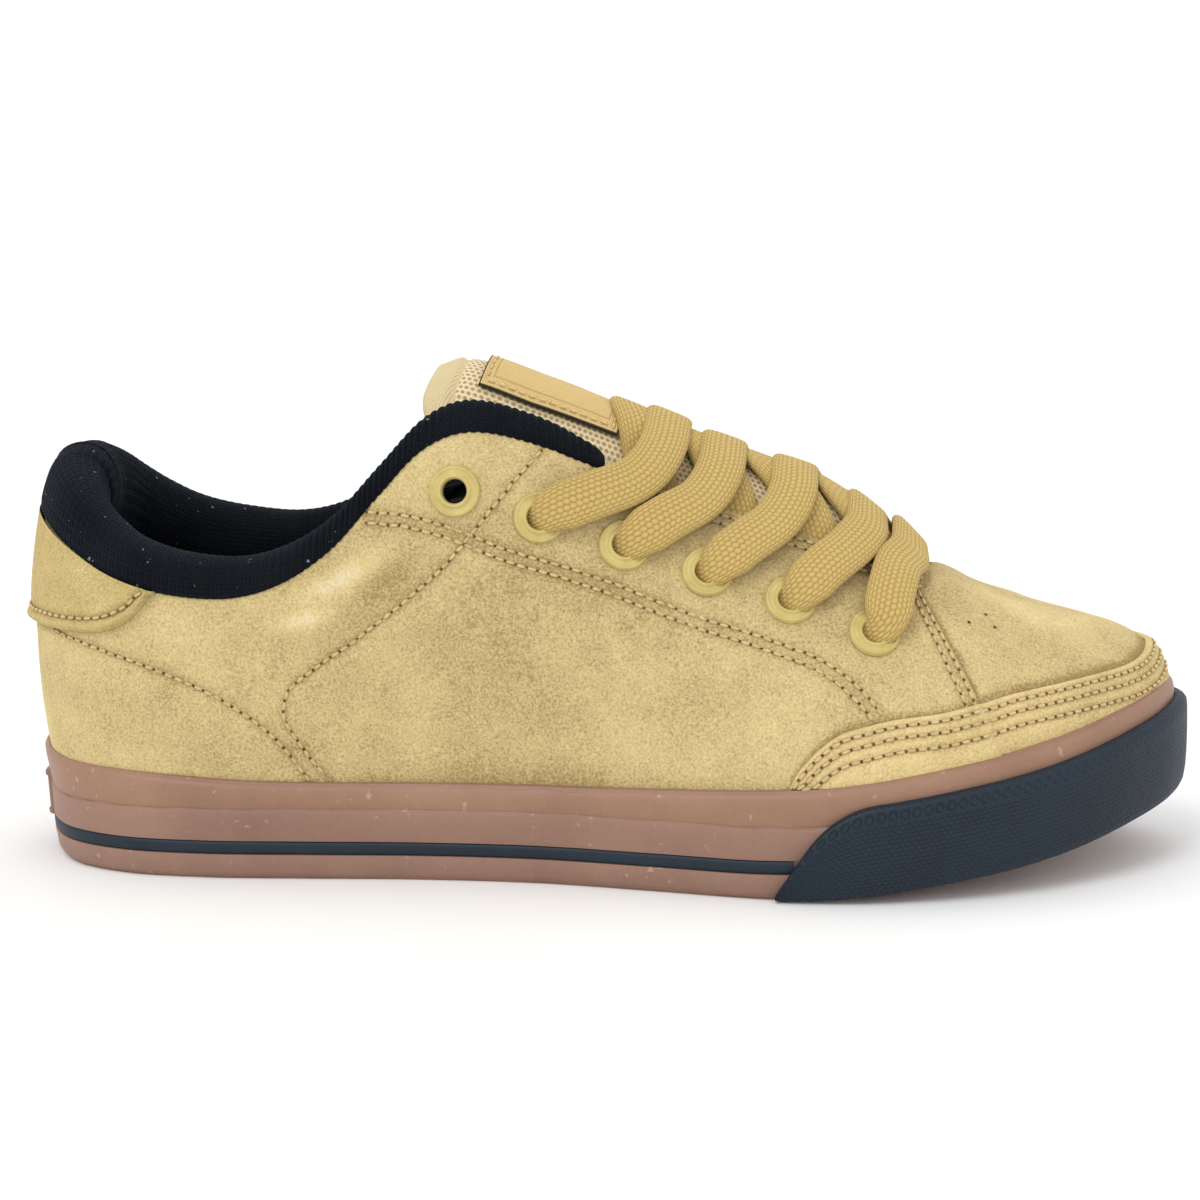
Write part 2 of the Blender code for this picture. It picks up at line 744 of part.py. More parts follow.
def eyelet_spot(side, number):
    """Station and height of an eyelet, numbered from the toe."""
    x = along(EYELET_FIRST) - (number - 1) * EYELET_PITCH
    inset = EYELET_INSET + EYELET_SPREAD * max(0, (4 - number) / 3) ** 1.5
    if number == EYELETS:
        inset = EYELET_TOP_INSET
    low, high = 0.30, 0.79
    for _ in range(24):
        t = (low + high) / 2
        h = 1.0
        controls = rib(side, t)
        edge = controls[3]
        while np.linalg.norm(bezier(controls, h) - edge) < inset:
            h -= 0.004
        point = bezier(controls, h)
        if point[0] < x:
            low = t
        else:
            high = t
    return t, h


def eyelet_place(side, number):
    """Centre and outward normal of an eyelet on the outer face of the suede."""
    spot = eyelet_spot(side, number)
    return skin(side, *spot), surface_normal(side, *spot)


def make_upper(parts, cutters):
    """The suede upper: one wall from the cup's floor to collar, eyestays and throat, open underneath."""
    mesh = bmesh.new()
    grid = [
        [mesh.verts.new(skin(side, t, row / ROWS_UP)) for row in range(ROWS_UP + 1)] for side, t in LOOP
    ]
    for first, second in zip(grid, grid[1:] + grid[:1]):
        for row in range(ROWS_UP):
            mesh.faces.new((first[row], second[row], second[row + 1], first[row + 1]))
    weld(mesh, 0.0001)
    upper = finish("upper", mesh, parts, material("suede", (0.60, 0.44, 0.18), 0.9))
    wall = upper.modifiers.new("wall", "SOLIDIFY")
    wall.thickness = UPPER_WALL
    wall.offset = -1
    wall.use_even_offset = True
    holes = bmesh.new()
    for side in (NEAR, FAR):
        for number in range(1, EYELETS + 1):
            point, normal = eyelet_place(side, number)
            bmesh.ops.create_cone(
                holes,
                cap_ends=True,
                segments=EYELET_SIDES,
                radius1=EYELET_BORE + EYELET_TUBE + GAP,
                radius2=EYELET_BORE + EYELET_TUBE + GAP,
                depth=4 * UPPER_WALL,
                matrix=frame_on(point, normal, (1, 0, 0)),
            )
    add_boolean(upper, finish("eyelet holes", holes, cutters))
    return upper


def make_eyelets(parts):
    """Rubber rings, each a flange on the suede with a short tube down its hole."""
    look = material("eyelet rubber", (0.58, 0.52, 0.20), 0.5)
    tube = EYELET_BORE + EYELET_TUBE
    profile = (
        (tube, 0.0),
        (EYELET_RADIUS, 0.0),
        (EYELET_RADIUS - 0.0006, EYELET_FLANGE),
        (EYELET_BORE + 0.0003, EYELET_FLANGE),
        (EYELET_BORE, -GAP - UPPER_WALL),
        (tube, -GAP - UPPER_WALL),
    )
    for side, side_name in ((NEAR, "near"), (FAR, "far")):
        for number in range(1, EYELETS + 1):
            point, normal = eyelet_place(side, number)
            place = frame_on(point + normal * GAP, normal, (1, 0, 0))
            sections = []
            for turn in np.arange(EYELET_SIDES) * 2 * pi / EYELET_SIDES:
                ring = [place @ Vector((r * cos(turn), r * sin(turn), z)) for r, z in profile]
                sections.append(ring)
            finish(f"eyelet_{side_name}_{number}", loft(sections, closed=True), parts, look)


def make_mudguard(parts):
    """Suede overlay round the toe, from the rubber wall up to its curved edge."""
    start = MUDGUARD[0][0]
    ts = [start, *[t for t in T if start + 0.006 < t and t not in SEAM], *SEAM]
    ts = sorted(ts)
    places = [(NEAR, t) for t in ts] + [(FAR, t) for t in ts[-2::-1]]
    out, inner = [], []
    for side, t in places:
        near_top, far_top = mudguard_at(t)
        low = height_on(side, t, foxing_top(side, t) + GAP)
        high = height_on(side, t, INSTEP_HEIGHT * (near_top if side == NEAR else far_top))
        high = max(high, low + 0.02)
        hs = [low + (high - low) * k for k in (0, 0.33, 0.67, 1)]
        lift = [GAP + OVERLAY] * 3 + [GAP + 0.6 * OVERLAY]
        out.append([skin(side, t, h, up) for h, up in zip(hs, lift)])
        inner.append([skin(side, t, h, GAP) for h in hs])
    finish("mudguard", patch(out, inner), parts, material("suede overlay", (0.62, 0.45, 0.19), 0.9))


def make_heel_tab(parts):
    """Suede overlay on the heel, from its raised lower edge up to the collar."""
    end = HEEL_TAB[-1][0]
    ts = [t for t in T if t < end - 0.004] + [end]
    places = [(FAR, t) for t in ts[:0:-1]] + [(NEAR, t) for t in ts]
    out, inner = [], []
    for side, t in places:
        low = height_on(side, t, INSTEP_HEIGHT * heel_tab_at(t)[0])
        low = min(low, 0.95)
        hs = [low + (0.992 - low) * k for k in (0, 0.12, 0.5, 1)]
        lift = (0.8, 1.5, 1.0, 0.9)
        out.append([skin(side, t, h, GAP + OVERLAY * up) for h, up in zip(hs, lift)])
        inner.append([skin(side, t, h, GAP) for h in hs])
    finish("heel_tab", patch(out, inner), parts, material("suede tab", (0.60, 0.42, 0.19), 0.9))


def make_collar(parts):
    """Knit over foam: a padded roll on the top edge of the suede, turned down inside as its lining."""
    ts = [t for t in T if t <= COLLAR_END]
    places = [(NEAR, t) for t in ts[::-1]] + [(FAR, t) for t in ts[1:]]
    sections = []
    for side, t in places:
        top = surface(side, t, 1) + surface_normal(side, t, 1) * QUARTER_RAISE
        out = surface_normal(side, t, 1)
        up = unit(surface(side, t, 1) - surface(side, t, 0.97)) + np.array((0, 0, 0.5))
        up = unit(up)
        height, thickness, depth = COLLAR_PAD * collar_at(t)
        section = []
        for inward, rise in COLLAR_SECTION:
            section.append(top - out * thickness * inward + up * (GAP + height * rise))
        back = UPPER_WALL + 3 * GAP
        foot = max(height_on(side, t, top[2] - depth), 0.3)
        for h, thick in ((0.5 + foot / 2, 0.6 * thickness), (foot, back + 0.001)):
            section.append(skin(side, t, h, -max(thick, back + 0.001)))
        section.append(skin(side, t, foot, -back))
        section.append(skin(side, t, 0.5 + foot / 2, -back))
        section.append(top - out * back + up * GAP)
        sections.append(section)
    finish("collar", loft(sections, closed=False), parts, material("knit", (0.01, 0.012, 0.016), 0.95))


def tongue_point(share, across):
    """The tongue's front face: across runs from -1 at the near edge to 1 at the far one."""
    x, z, half, drop, sweep, thickness = tongue_at(share)
    fall = abs(across) ** 1.8
    middle = TONGUE_MIDDLE * HALF
    front = np.array(
        (
            along(x) - sweep * SOLE_LENGTH * fall,
            middle + half * HALF * across,
            (z - drop * fall) * INSTEP_HEIGHT,
        )
    )
    return front


def tongue_columns():
    return [-1 + 2 * k / TONGUE_COLUMNS for k in range(TONGUE_COLUMNS + 1)]


def tongue_normal(share, across):
    step = 0.01
    length_way = tongue_point(min(share + step, 1), across) - tongue_point(max(share - step, 0), across)
    low, high = max(across - step, -1), min(across + step, 1)
    return unit(np.cross(length_way, tongue_point(share, high) - tongue_point(share, low)))


def make_tongue(parts):
    """The padded tongue, arched over the instep, from its top down to its foot under the vamp."""
    out, inner = [], []
    for row in range(TONGUE_ROWS + 1):
        share = row / TONGUE_ROWS
        thickness = tongue_at(share)[5] * TONGUE_THICKNESS
        out.append([tongue_point(share, a) for a in tongue_columns()])
        inner.append(
            [
                tongue_point(share, a) - tongue_normal(share, a) * thickness * (1 - 0.55 * abs(a) ** 3)
                for a in tongue_columns()
            ]
        )
    finish("tongue", patch(out, inner), parts, material("spacer mesh", (0.55, 0.45, 0.30), 0.9))


def make_label(parts):
    """A woven label laid over the ridge of the tongue, with its rows and columns on the tongue's own."""
    rows = [k / TONGUE_ROWS for k in range(TONGUE_ROWS + 1)]
    steps = [np.linalg.norm(tongue_point(b, 0) - tongue_point(a, 0)) for a, b in zip(rows, rows[1:])]
    lengths = np.append(0, np.cumsum(steps))
    first, last = np.interp((LABEL_START, LABEL_START + LABEL_LENGTH), lengths, rows)
    shares = [first, *[row for row in rows if first + 0.01 < row < last - 0.01], last]
    reach = LABEL_WIDTH / 2 / (tongue_at(first)[2] * HALF)
    columns = [a for a in tongue_columns() if abs(a) < reach - 0.05]
    out, inner = [], []
    for share in shares:
        edge = LABEL_WIDTH / 2 / (tongue_at(share)[2] * HALF)
        places = [(tongue_point(share, a), tongue_normal(share, a)) for a in (-edge, *columns, edge)]
        out.append([point + normal * (1.5 * GAP + LABEL_THICKNESS) for point, normal in places])
        inner.append([point + normal * 1.5 * GAP for point, normal in places])
    finish("tongue_label", patch(out, inner), parts, material("woven label", (0.66, 0.42, 0.15), 0.8))


def on_tongue(x, across, out):
    """A point over the tongue's front face at an x, and the direction out of the face."""
    low, high = 0.0, 1.0
    for _ in range(24):
        share = (low + high) / 2
        if tongue_point(share, across)[0] < x:
            low = share
        else:
            high = share
    normal = tongue_normal(share, across)
    return tongue_point(share, across) + normal * out, normal


def edge_station(x):
    """The station at which the eyestay's edge passes an x."""
    low, high = 0.42, RIDGE_START
    for _ in range(24):
        t = (low + high) / 2
        if along(edge_at(t)[0]) < x:
            low = t
        else:
            high = t
    return low


def strap(stops, pieces=9):
    """A flat lace along a smooth curve through its stops, each a point and the direction out of it."""
    points = np.array([point for point, _ in stops])
    normals = np.array([normal for _, normal in stops])
    keys = np.append(0, np.cumsum(np.linalg.norm(np.diff(points, axis=0), axis=1)))
    course = table(np.column_stack([keys, points, normals]))
    places = [course(keys[-1] * k / pieces) for k in range(pieces + 1)]
    half, thick = LACE_WIDTH / 2, LACE_THICKNESS / 2
    section = ((half, 0), (0.86 * half, thick), (-0.86 * half, thick))
    section += tuple((-a, -b) for a, b in section)
    rings = []
    for k, place in enumerate(places):
        ahead = places[min(k + 1, pieces)][:3] - places[max(k - 1, 0)][:3]
        across = unit(np.cross(ahead, place[3:]))
        out = unit(np.cross(across, ahead))
        rings.append([place[:3] + across * a + out * b for a, b in section])
    return loft(rings, closed=False)


def lace_climb(side, number, ridge_x, lift):
    """The stops of a strap from over its eyelet, past the eyestay's edge, to the tongue's ridge."""
    t, h = eyelet_spot(side, number)
    start = eyelet_place(side, number)[0][0]
    edge_t = edge_station(start + 0.75 * (ridge_x - start))
    over = LACE_THICKNESS / 2 + EYELET_FLANGE + 3 * GAP
    stops = []
    for share in (0, 0.5, 1):
        spot = (side, t + (edge_t - t) * share, h + (0.98 - h) * share)
        extra = 2 * GAP + 6 * GAP * share * (number == 1)
        stops.append((skin(*spot, over + extra), surface_normal(*spot)))
    return [*stops, on_tongue(ridge_x, side * 0.35, lift + GAP), on_tongue(ridge_x, 0, lift)]


def make_lace(parts, cutters):
    """The flat woven lace: a bar over the first eyelets, and the crossings joined to one solid."""
    look = material("woven lace", (0.66, 0.44, 0.13), 0.8)
    rest = LACE_THICKNESS / 2 + 3 * GAP
    bar_stops = [lace_climb(side, 1, along(BAR_X), rest + BAR_LIFT) for side in (NEAR, FAR)]
    finish("lace_bar", strap(bar_stops[0] + bar_stops[1][-2::-1], 14), parts, look)
    crossings = None
    for number, near_x, far_x, reach in LACE_ROWS:
        below = along(EYELET_FIRST) - (number - 2.2) * EYELET_PITCH
        label = LABEL_THICKNESS + GAP if number == LACE_ROWS[-1][0] else 0
        for side, ridge_x, lift in ((FAR, far_x, rest), (NEAR, near_x, rest + 0.55 * LACE_THICKNESS)):
            stops = lace_climb(side, number, along(ridge_x), lift + label)
            halfway = (along(ridge_x) + below) / 2
            stops.append(on_tongue(halfway, -side * reach / 2, rest + label + GAP))
            stops.append(on_tongue(below, -side * reach, rest))
            if crossings:
                add_boolean(crossings, finish(f"strap {number} {side}", strap(stops), cutters), "UNION")
            else:
                crossings = finish("lace_crossings", strap(stops), parts, look)


def make_all():
    scene = bpy.context.scene
    for thing in list(bpy.data.objects):
        bpy.data.objects.remove(thing, do_unlink=True)
    parts = bpy.data.collections.new("skateboarding shoe")
    cutters = bpy.data.collections.new("cutters")
    scene.collection.children.link(parts)
    scene.collection.children.link(cutters)
    make_cup(parts, cutters)
    make_stripe(parts)
    make_bumper(parts)
    make_badge(parts)
    make_insole(parts)
    make_upper(parts, cutters)
    make_eyelets(parts)
    make_mudguard(parts)
    make_heel_tab(parts)
    make_collar(parts)
    make_tongue(parts)
    make_label(parts)
    make_lace(parts, cutters)
    corners = np.array([vertex.co for thing in parts.objects for vertex in thing.data.vertices])
    middle = (corners.min(axis=0) + corners.max(axis=0)) / 2
    for thing in bpy.data.objects:
        thing.location = (-middle[0], -middle[1], 0)


make_all()
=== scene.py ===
from functools import lru_cache
from math import cos, exp, pi, radians, sin, sqrt

import bmesh
import bpy
import numpy as np
from mathutils import Matrix, Vector
from mathutils.bvhtree import BVHTree
from mathutils.kdtree import KDTree


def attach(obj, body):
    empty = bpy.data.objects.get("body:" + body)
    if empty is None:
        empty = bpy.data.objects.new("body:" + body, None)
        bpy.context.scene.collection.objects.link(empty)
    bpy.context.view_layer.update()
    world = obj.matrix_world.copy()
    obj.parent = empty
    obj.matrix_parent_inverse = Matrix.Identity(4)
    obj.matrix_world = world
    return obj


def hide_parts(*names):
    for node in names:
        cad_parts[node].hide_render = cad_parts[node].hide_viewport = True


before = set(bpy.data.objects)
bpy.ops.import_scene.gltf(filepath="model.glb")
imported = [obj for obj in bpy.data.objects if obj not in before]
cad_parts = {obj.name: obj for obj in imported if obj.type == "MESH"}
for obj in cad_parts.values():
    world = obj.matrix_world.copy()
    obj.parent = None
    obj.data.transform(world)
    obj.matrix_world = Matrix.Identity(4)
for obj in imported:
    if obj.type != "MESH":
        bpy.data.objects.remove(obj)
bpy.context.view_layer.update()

# Rubber cup: gum rubber, moulded in one with its floor and tread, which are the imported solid's own.
# Its side wall is a strip of foxing, in two bands with a crease between them, wrapped round the cup
# and cemented to it. All of the shoe's faces are set out from the edge of the sole, as on the last.

SOLE_LENGTH = 0.290
HALF = 0.054  # half the ball's width
INSTEP_HEIGHT = 0.109
TOE_SPRING = 0.016
SHIFT = Vector((0.000065, 0.000042, 0))  # from the last's middle to the frame's
NEAR, FAR = -1, 1
FOXING_HEIGHT = 0.0242
FOXING_WALL = 0.003
FOXING_LIFT = 0.0002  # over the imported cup
LEDGE_HEIGHT = 0.0173
STRIPE_HEIGHT = 0.0080
STRIPE_WIDTH = 0.0033
FLOOR_HEEL, FLOOR_BALL = 0.013, 0.0095
QUARTER_RAISE = 0.0012
SAME_POINT = 0.000004  # vertices nearer than this are merged
GUM = (0.300, 0.172, 0.124)
GUM_DEEP = (0.222, 0.123, 0.086)

# Edge of the sole from above: x share, y share
OUTLINE = (
    (0.000, 0.00), (0.012, -0.29), (0.045, -0.55), (0.100, -0.71), (0.170, -0.765), (0.260, -0.755),
    (0.360, -0.735), (0.460, -0.76), (0.560, -0.86), (0.650, -0.955), (0.720, -0.97), (0.800, -0.885),
    (0.880, -0.68), (0.945, -0.39), (0.985, -0.09), (1.000, 0.18), (0.990, 0.43), (0.955, 0.67),
    (0.900, 0.84), (0.820, 0.945), (0.740, 0.97), (0.660, 0.92), (0.560, 0.79), (0.460, 0.69),
    (0.360, 0.665), (0.260, 0.70), (0.170, 0.74), (0.100, 0.70), (0.045, 0.54), (0.012, 0.28),
)
TOE_TIP = 15  # the outline's row at the toe
OUTLINE_FINE = 20  # points on the curve for each row

# Lift of the bottom: x share, share of the toe spring
SPRING = (
    (0.00, 0.03), (0.04, 0.0), (0.62, 0.0), (0.72, 0.07), (0.80, 0.25), (0.89, 0.51), (0.96, 0.83),
    (1.00, 1.02),
)

# Top of the rubber: station from heel 0 to toe 1, share of the foxing's height
FOXING_TOP = (
    (0.00, 1.15), (0.07, 1.12), (0.16, 1.07), (0.28, 0.99), (0.48, 1.00), (0.66, 1.09), (0.80, 1.13),
    (1.00, 1.17),
)

# Lean of the wall in shares of its thickness: height share, heel, side, toe
WALL_LEAN = (
    (0.00, -1.60, -0.50, -0.60),
    (0.08, -1.00, -0.08, -0.25),
    (0.35, -0.60, 0.0, -0.10),
    (0.72, -0.30, 0.0, -0.10),
    (0.96, 0.42, -0.28, -0.45),
    (1.00, 0.25, -0.50, -0.70),
)


def clamped(value, low=0.0, high=1.0):
    return min(max(value, low), high)


def table(rows):
    """The rows' columns as smooth functions of the first one, which never overshoot a row."""
    rows = np.array(rows, float)
    keys, values = rows[:, 0], rows[:, 1:]
    steps = np.diff(keys)[:, None]
    slopes = np.diff(values, axis=0) / steps
    before, after = slopes[:-1], slopes[1:]
    mean = (before * steps[1:] + after * steps[:-1]) / (steps[1:] + steps[:-1])
    limit = 3 * np.minimum(abs(before), abs(after)) * (before * after > 0)
    tangents = np.vstack([slopes[:1], np.clip(mean, -limit, limit), slopes[-1:]])

    def at(key):
        key = clamped(key, keys[0], keys[-1])
        i = clamped(int(np.searchsorted(keys, key)) - 1, 0, len(keys) - 2)
        step = keys[i + 1] - keys[i]
        u = (key - keys[i]) / step
        ends = (1 + 2 * u) * (1 - u) ** 2 * values[i] + u * u * (3 - 2 * u) * values[i + 1]
        return ends + step * (u * (1 - u) ** 2 * tangents[i] - u * u * (1 - u) * tangents[i + 1])

    return at


spring_at = table(SPRING)
foxing_top_at = table(FOXING_TOP)
wall_lean_at = table(WALL_LEAN)


def along(share):
    return (share - 0.5) * SOLE_LENGTH


def unit(vector):
    return vector / np.linalg.norm(vector)


def lengths_along(points):
    """How far along its line each point is."""
    return np.append(0, np.cumsum(np.linalg.norm(np.diff(points, axis=0), axis=1)))


def smooth_loop(points, fine):
    """A closed curve through the points, each tangent set by its two neighbours."""
    before, after = np.roll(points, 1, axis=0), np.roll(points, -1, axis=0)
    back = np.linalg.norm(points - before, axis=1)[:, None]
    ahead = np.linalg.norm(after - points, axis=1)[:, None]
    tangents = ((points - before) / back * ahead + (after - points) / ahead * back) / (back + ahead)
    next_tangents = np.roll(tangents, -1, axis=0)
    curve = []
    for i in range(len(points)):
        for u in np.arange(fine) / fine:
            ends = (1 + 2 * u) * (1 - u) ** 2 * points[i] + u * u * (3 - 2 * u) * after[i]
            pull = u * (1 - u) ** 2 * tangents[i] - u * u * (1 - u) * next_tangents[i]
            curve.append(ends + ahead[i] * pull)
    return np.array(curve)


def side_curves():
    """Each side's half of the outline from heel to toe, with the lengths along it."""
    curve = smooth_loop(np.array([(along(x), y * HALF) for x, y in OUTLINE]), OUTLINE_FINE)
    tip = TOE_TIP * OUTLINE_FINE
    sides = {NEAR: curve[: tip + 1], FAR: np.vstack([curve[tip:], curve[:1]])[::-1]}
    return {side: (line, lengths_along(line)) for side, line in sides.items()}


SIDES = side_curves()
SIDE_LENGTH = SIDES[NEAR][1][-1]


@lru_cache(maxsize=None)
def outline(side, t):
    """A point of the sole's outline, and the direction out of it, seen from above."""
    line, lengths = SIDES[side]
    here = t * lengths[-1]
    if t in (0, 1):
        normal = np.array((1.0 if t else -1.0, 0.0))
    else:
        ends = [[np.interp(here + way, lengths, line[:, k]) for k in (0, 1)] for way in (-0.004, 0.004)]
        tangent = unit(np.subtract(ends[1], ends[0]))
        normal = np.array((-tangent[1], tangent[0])) * side
    return np.array([np.interp(here, lengths, line[:, k]) for k in (0, 1)]), normal


@lru_cache(maxsize=None)
def bottom_z(side, t):
    return TOE_SPRING * spring_at(outline(side, t)[0][0] / SOLE_LENGTH + 0.5)[0]


@lru_cache(maxsize=None)
def floor_z(side, t):
    share = clamped((outline(side, t)[0][0] / SOLE_LENGTH + 0.5 - 0.3) / 0.3)
    return bottom_z(side, t) + FLOOR_HEEL + (FLOOR_BALL - FLOOR_HEEL) * share


@lru_cache(maxsize=None)
def foxing_top(side, t):
    return bottom_z(side, t) + FOXING_HEIGHT * foxing_top_at(t)[0]


def wall_point(side, t, z, extra=0.0):
    """A point on the outer face of the rubber wall."""
    point, normal = outline(side, t)
    bottom = bottom_z(side, t)
    heel, middle, toe = wall_lean_at((z - bottom) / (foxing_top(side, t) - bottom))
    lean = middle + (heel - middle) * max(0.0, 1 - t / 0.16) ** 2
    lean += (toe - middle) * max(0.0, (t - 0.78) / 0.22) ** 1.5
    flat = point + normal * (FOXING_WALL * lean + extra)
    return np.array((flat[0], flat[1], z))


def round_shoe(p):
    """Side and station of a place round the shoe: 0 at the heel, 1 at the toe, 2 at the heel again."""
    return (NEAR, p) if p <= 1 else (FAR, 2 - p)


def there_and_back(stations):
    """The near side's stations up to 1, and the far side's back again."""
    return [*stations, *[2 - t for t in stations[-2::-1]]]


def laid(us, vs, place, uv_scale=(1, 1), look=None, marks=()):
    """A grid with each point moved to place(u, v). u and v are kept as its UV map, and marks as values."""
    mesh = bmesh.new()
    bmesh.ops.create_grid(mesh, x_segments=len(us) - 1, y_segments=len(vs) - 1, size=1)
    uv = mesh.loops.layers.uv.new("UVMap")
    layers = [(mesh.verts.layers.float.new(name), value) for name, value in marks]
    if look:
        for face in mesh.faces:
            middle = face.calc_center_median()
            u = us[int((middle.x + 1) / 2 * (len(us) - 1))]
            face.material_index = look(u, vs[int((middle.y + 1) / 2 * (len(vs) - 1))])
    for vert in mesh.verts:
        u = us[round((vert.co.x + 1) / 2 * (len(us) - 1))]
        v = vs[round((vert.co.y + 1) / 2 * (len(vs) - 1))]
        vert.co = place(u, v)
        for layer, value in layers:
            vert[layer] = value(u, v)
        for loop in vert.link_loops:
            loop[uv].uv = (u * uv_scale[0], v * uv_scale[1])
    return mesh


def looks_out(mesh, inside):
    """Whether most of the mesh's faces look away from a point inside it."""
    away = 0
    for face in mesh.faces:
        away += face.calc_area() * face.normal.dot(face.calc_center_median() - Vector(inside))
    return away > 0


def made_piece(name, mesh, looks, stands_for=(), outward=None, sharp=40):
    """One finished object at the frame's origin. The faces look away from the point outward."""
    bmesh.ops.remove_doubles(mesh, verts=mesh.verts, dist=SAME_POINT)
    bmesh.ops.dissolve_degenerate(mesh, edges=mesh.edges, dist=SAME_POINT)
    bmesh.ops.recalc_face_normals(mesh, faces=mesh.faces)
    if outward is not None and not looks_out(mesh, outward):
        bmesh.ops.reverse_faces(mesh, faces=mesh.faces)
    bmesh.ops.translate(mesh, verts=mesh.verts, vec=SHIFT)
    data = bpy.data.meshes.new(name)
    mesh.to_mesh(data)
    mesh.free()
    data.shade_smooth()
    data.set_sharp_from_angle(angle=radians(sharp))
    for look in looks:
        data.materials.append(look)
    piece = bpy.data.objects.new(name, data)
    bpy.context.scene.collection.objects.link(piece)
    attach(piece, "root")
    if stands_for:
        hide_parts(*stands_for)
    return piece


def finish_of(name, roughness, **sockets):
    """A new material: its node tree and its shader, with the even values on the shader's own sockets."""
    made = bpy.data.materials.new(name)
    made.use_nodes = True
    shader = made.node_tree.nodes["Principled BSDF"]
    shader.inputs["Roughness"].default_value = roughness
    for socket, value in sockets.items():
        shader.inputs[socket.replace("_", " ")].default_value = value
    return made, made.node_tree, shader


def node(tree, kind, inputs=(), **settings):
    made = tree.nodes.new("ShaderNode" + kind)
    for key, value in settings.items():
        setattr(made, key, value)
    for socket, value in dict(inputs).items():
        if isinstance(value, bpy.types.NodeSocket):
            tree.links.new(value, made.inputs[socket])
        else:
            made.inputs[socket].default_value = value
    return made


def coords(tree, scale=(1, 1, 1), turn=0.0, from_uv=False):
    """Object or UV coordinates in metres, stretched and turned."""
    source = node(tree, "TexCoord").outputs["UV" if from_uv else "Object"]
    return node(tree, "Mapping", {"Vector": source, "Scale": scale, "Rotation": (0, 0, turn)}).outputs[0]


def noise(tree, vector, scale, detail=3.0, rough=0.55):
    inputs = {"Vector": vector, "Scale": scale, "Detail": detail, "Roughness": rough}
    return node(tree, "TexNoise", inputs).outputs[0]


def ramp(tree, factor, *stops):
    """A colour ramp through (place, colour) stops."""
    made = node(tree, "ValToRGB", {0: factor})
    elements = made.color_ramp.elements
    while len(elements) < len(stops):
        elements.new(0.5)
    for element, (place, color) in zip(elements, stops):
        element.position = place
        element.color = (*color, 1)
    return made.outputs[0]


def math(tree, operation, *values):
    return node(tree, "Math", dict(enumerate(values)), operation=operation).outputs[0]


def plus(tree, first, second):
    return math(tree, "ADD", first, second)


def minus(tree, first, second):
    return math(tree, "SUBTRACT", first, second)


def times(tree, first, second):
    return math(tree, "MULTIPLY", first, second)


def divided(tree, first, second):
    return math(tree, "DIVIDE", first, second)


def absolute(tree, value):
    return math(tree, "ABSOLUTE", value)


def least(tree, first, second):
    return math(tree, "MINIMUM", first, second)


def mix(tree, factor, first, second, blend="MIX"):
    return node(tree, "MixRGB", {0: factor, 1: first, 2: second}, blend_type=blend).outputs[0]


def dyed(tree, shader, colour):
    tree.links.new(colour, shader.inputs["Base Color"])


def mottled(tree, shader, scale, detail, dark, pale):
    """The finish's two shades in a fine cloud."""
    dyed(tree, shader, ramp(tree, noise(tree, coords(tree), scale, detail), (0.3, dark), (0.7, pale)))


def uneven_shine(tree, shader, cloud, smooth, rough):
    """Roughness that follows a cloud from one value to the other."""
    made = node(tree, "MapRange", {0: cloud, 3: smooth, 4: rough}).outputs[0]
    tree.links.new(made, shader.inputs["Roughness"])


def raised(tree, shader, *layers):
    """Bump from layers of (height, metres)."""
    normal = None
    for height, distance in layers:
        inputs = {"Height": height, "Distance": distance, "Strength": 1.0}
        if normal:
            inputs["Normal"] = normal
        normal = node(tree, "Bump", inputs).outputs[0]
    tree.links.new(normal, shader.inputs["Normal"])


def gum_rubber(name, pale, deep, shine):
    look, tree, shader = finish_of(name, shine, Specular_IOR_Level=0.4)
    place = coords(tree)
    cloud = noise(tree, place, 35, 5)
    dust = noise(tree, place, 900, 3, 0.7)
    tone = plus(tree, times(tree, cloud, 0.75), times(tree, dust, 0.25))
    colour = ramp(tree, tone, (0.30, deep), (0.62, pale))
    specks = ramp(tree, noise(tree, place, 420, 2, 0.4), (0.70, (0, 0, 0)), (0.76, (1, 1, 1)))
    colour = mix(tree, times(tree, specks, 0.35), colour, (0.62, 0.44, 0.34, 1))
    dyed(tree, shader, colour)
    uneven_shine(tree, shader, cloud, shine - 0.08, shine + 0.12)
    raised(tree, shader, (noise(tree, place, 160, 2), 0.00012), (noise(tree, place, 2200, 2), 0.00004))
    return look


gum = gum_rubber("gum rubber of the cup", GUM, GUM_DEEP, 0.5)
# The top band: a copy of the gum rubber, a little warmer, and painted paler for the light that falls on its
# inward lean.
lit_gum_band = gum_rubber("gum rubber of the top band", (0.318, 0.176, 0.112), (0.245, 0.131, 0.082), 0.42)


def foxing_rows(side, t):
    """Height and set-back of each row of the strip, from under the edge up over its top."""
    bottom, top = bottom_z(side, t), foxing_top(side, t)
    low, high = bottom + STRIPE_HEIGHT - STRIPE_WIDTH / 2, bottom + STRIPE_HEIGHT + STRIPE_WIDTH / 2
    ledge = bottom + LEDGE_HEIGHT
    return (
        (bottom + 0.00006, -0.0022), (bottom + 0.00008, -0.0010), (bottom + 0.0003, -0.0004),
        (bottom + 0.0008, -0.00008), (bottom + 0.0019, 0.0), (low - 0.0004, 0.0), (low - 0.0001, -0.0001),
        (low, -0.0006), (high, -0.0006), (high + 0.0001, -0.0001), (high + 0.0004, 0.0),
        (ledge - 0.0030, 0.0), (ledge - 0.0005, 0.0001), (ledge - 0.0001, -0.0001), (ledge + 0.0001, -0.0006),
        (ledge + 0.0004, -0.0004), (ledge + 0.0009, -0.0002), (top - 0.0032, -0.0001), (top - 0.0014, 0.0),
        (top - 0.0005, -0.0002), (top, -0.0007), (top + 0.0002, -0.0014), (top + 0.0001, -0.0024),
    )


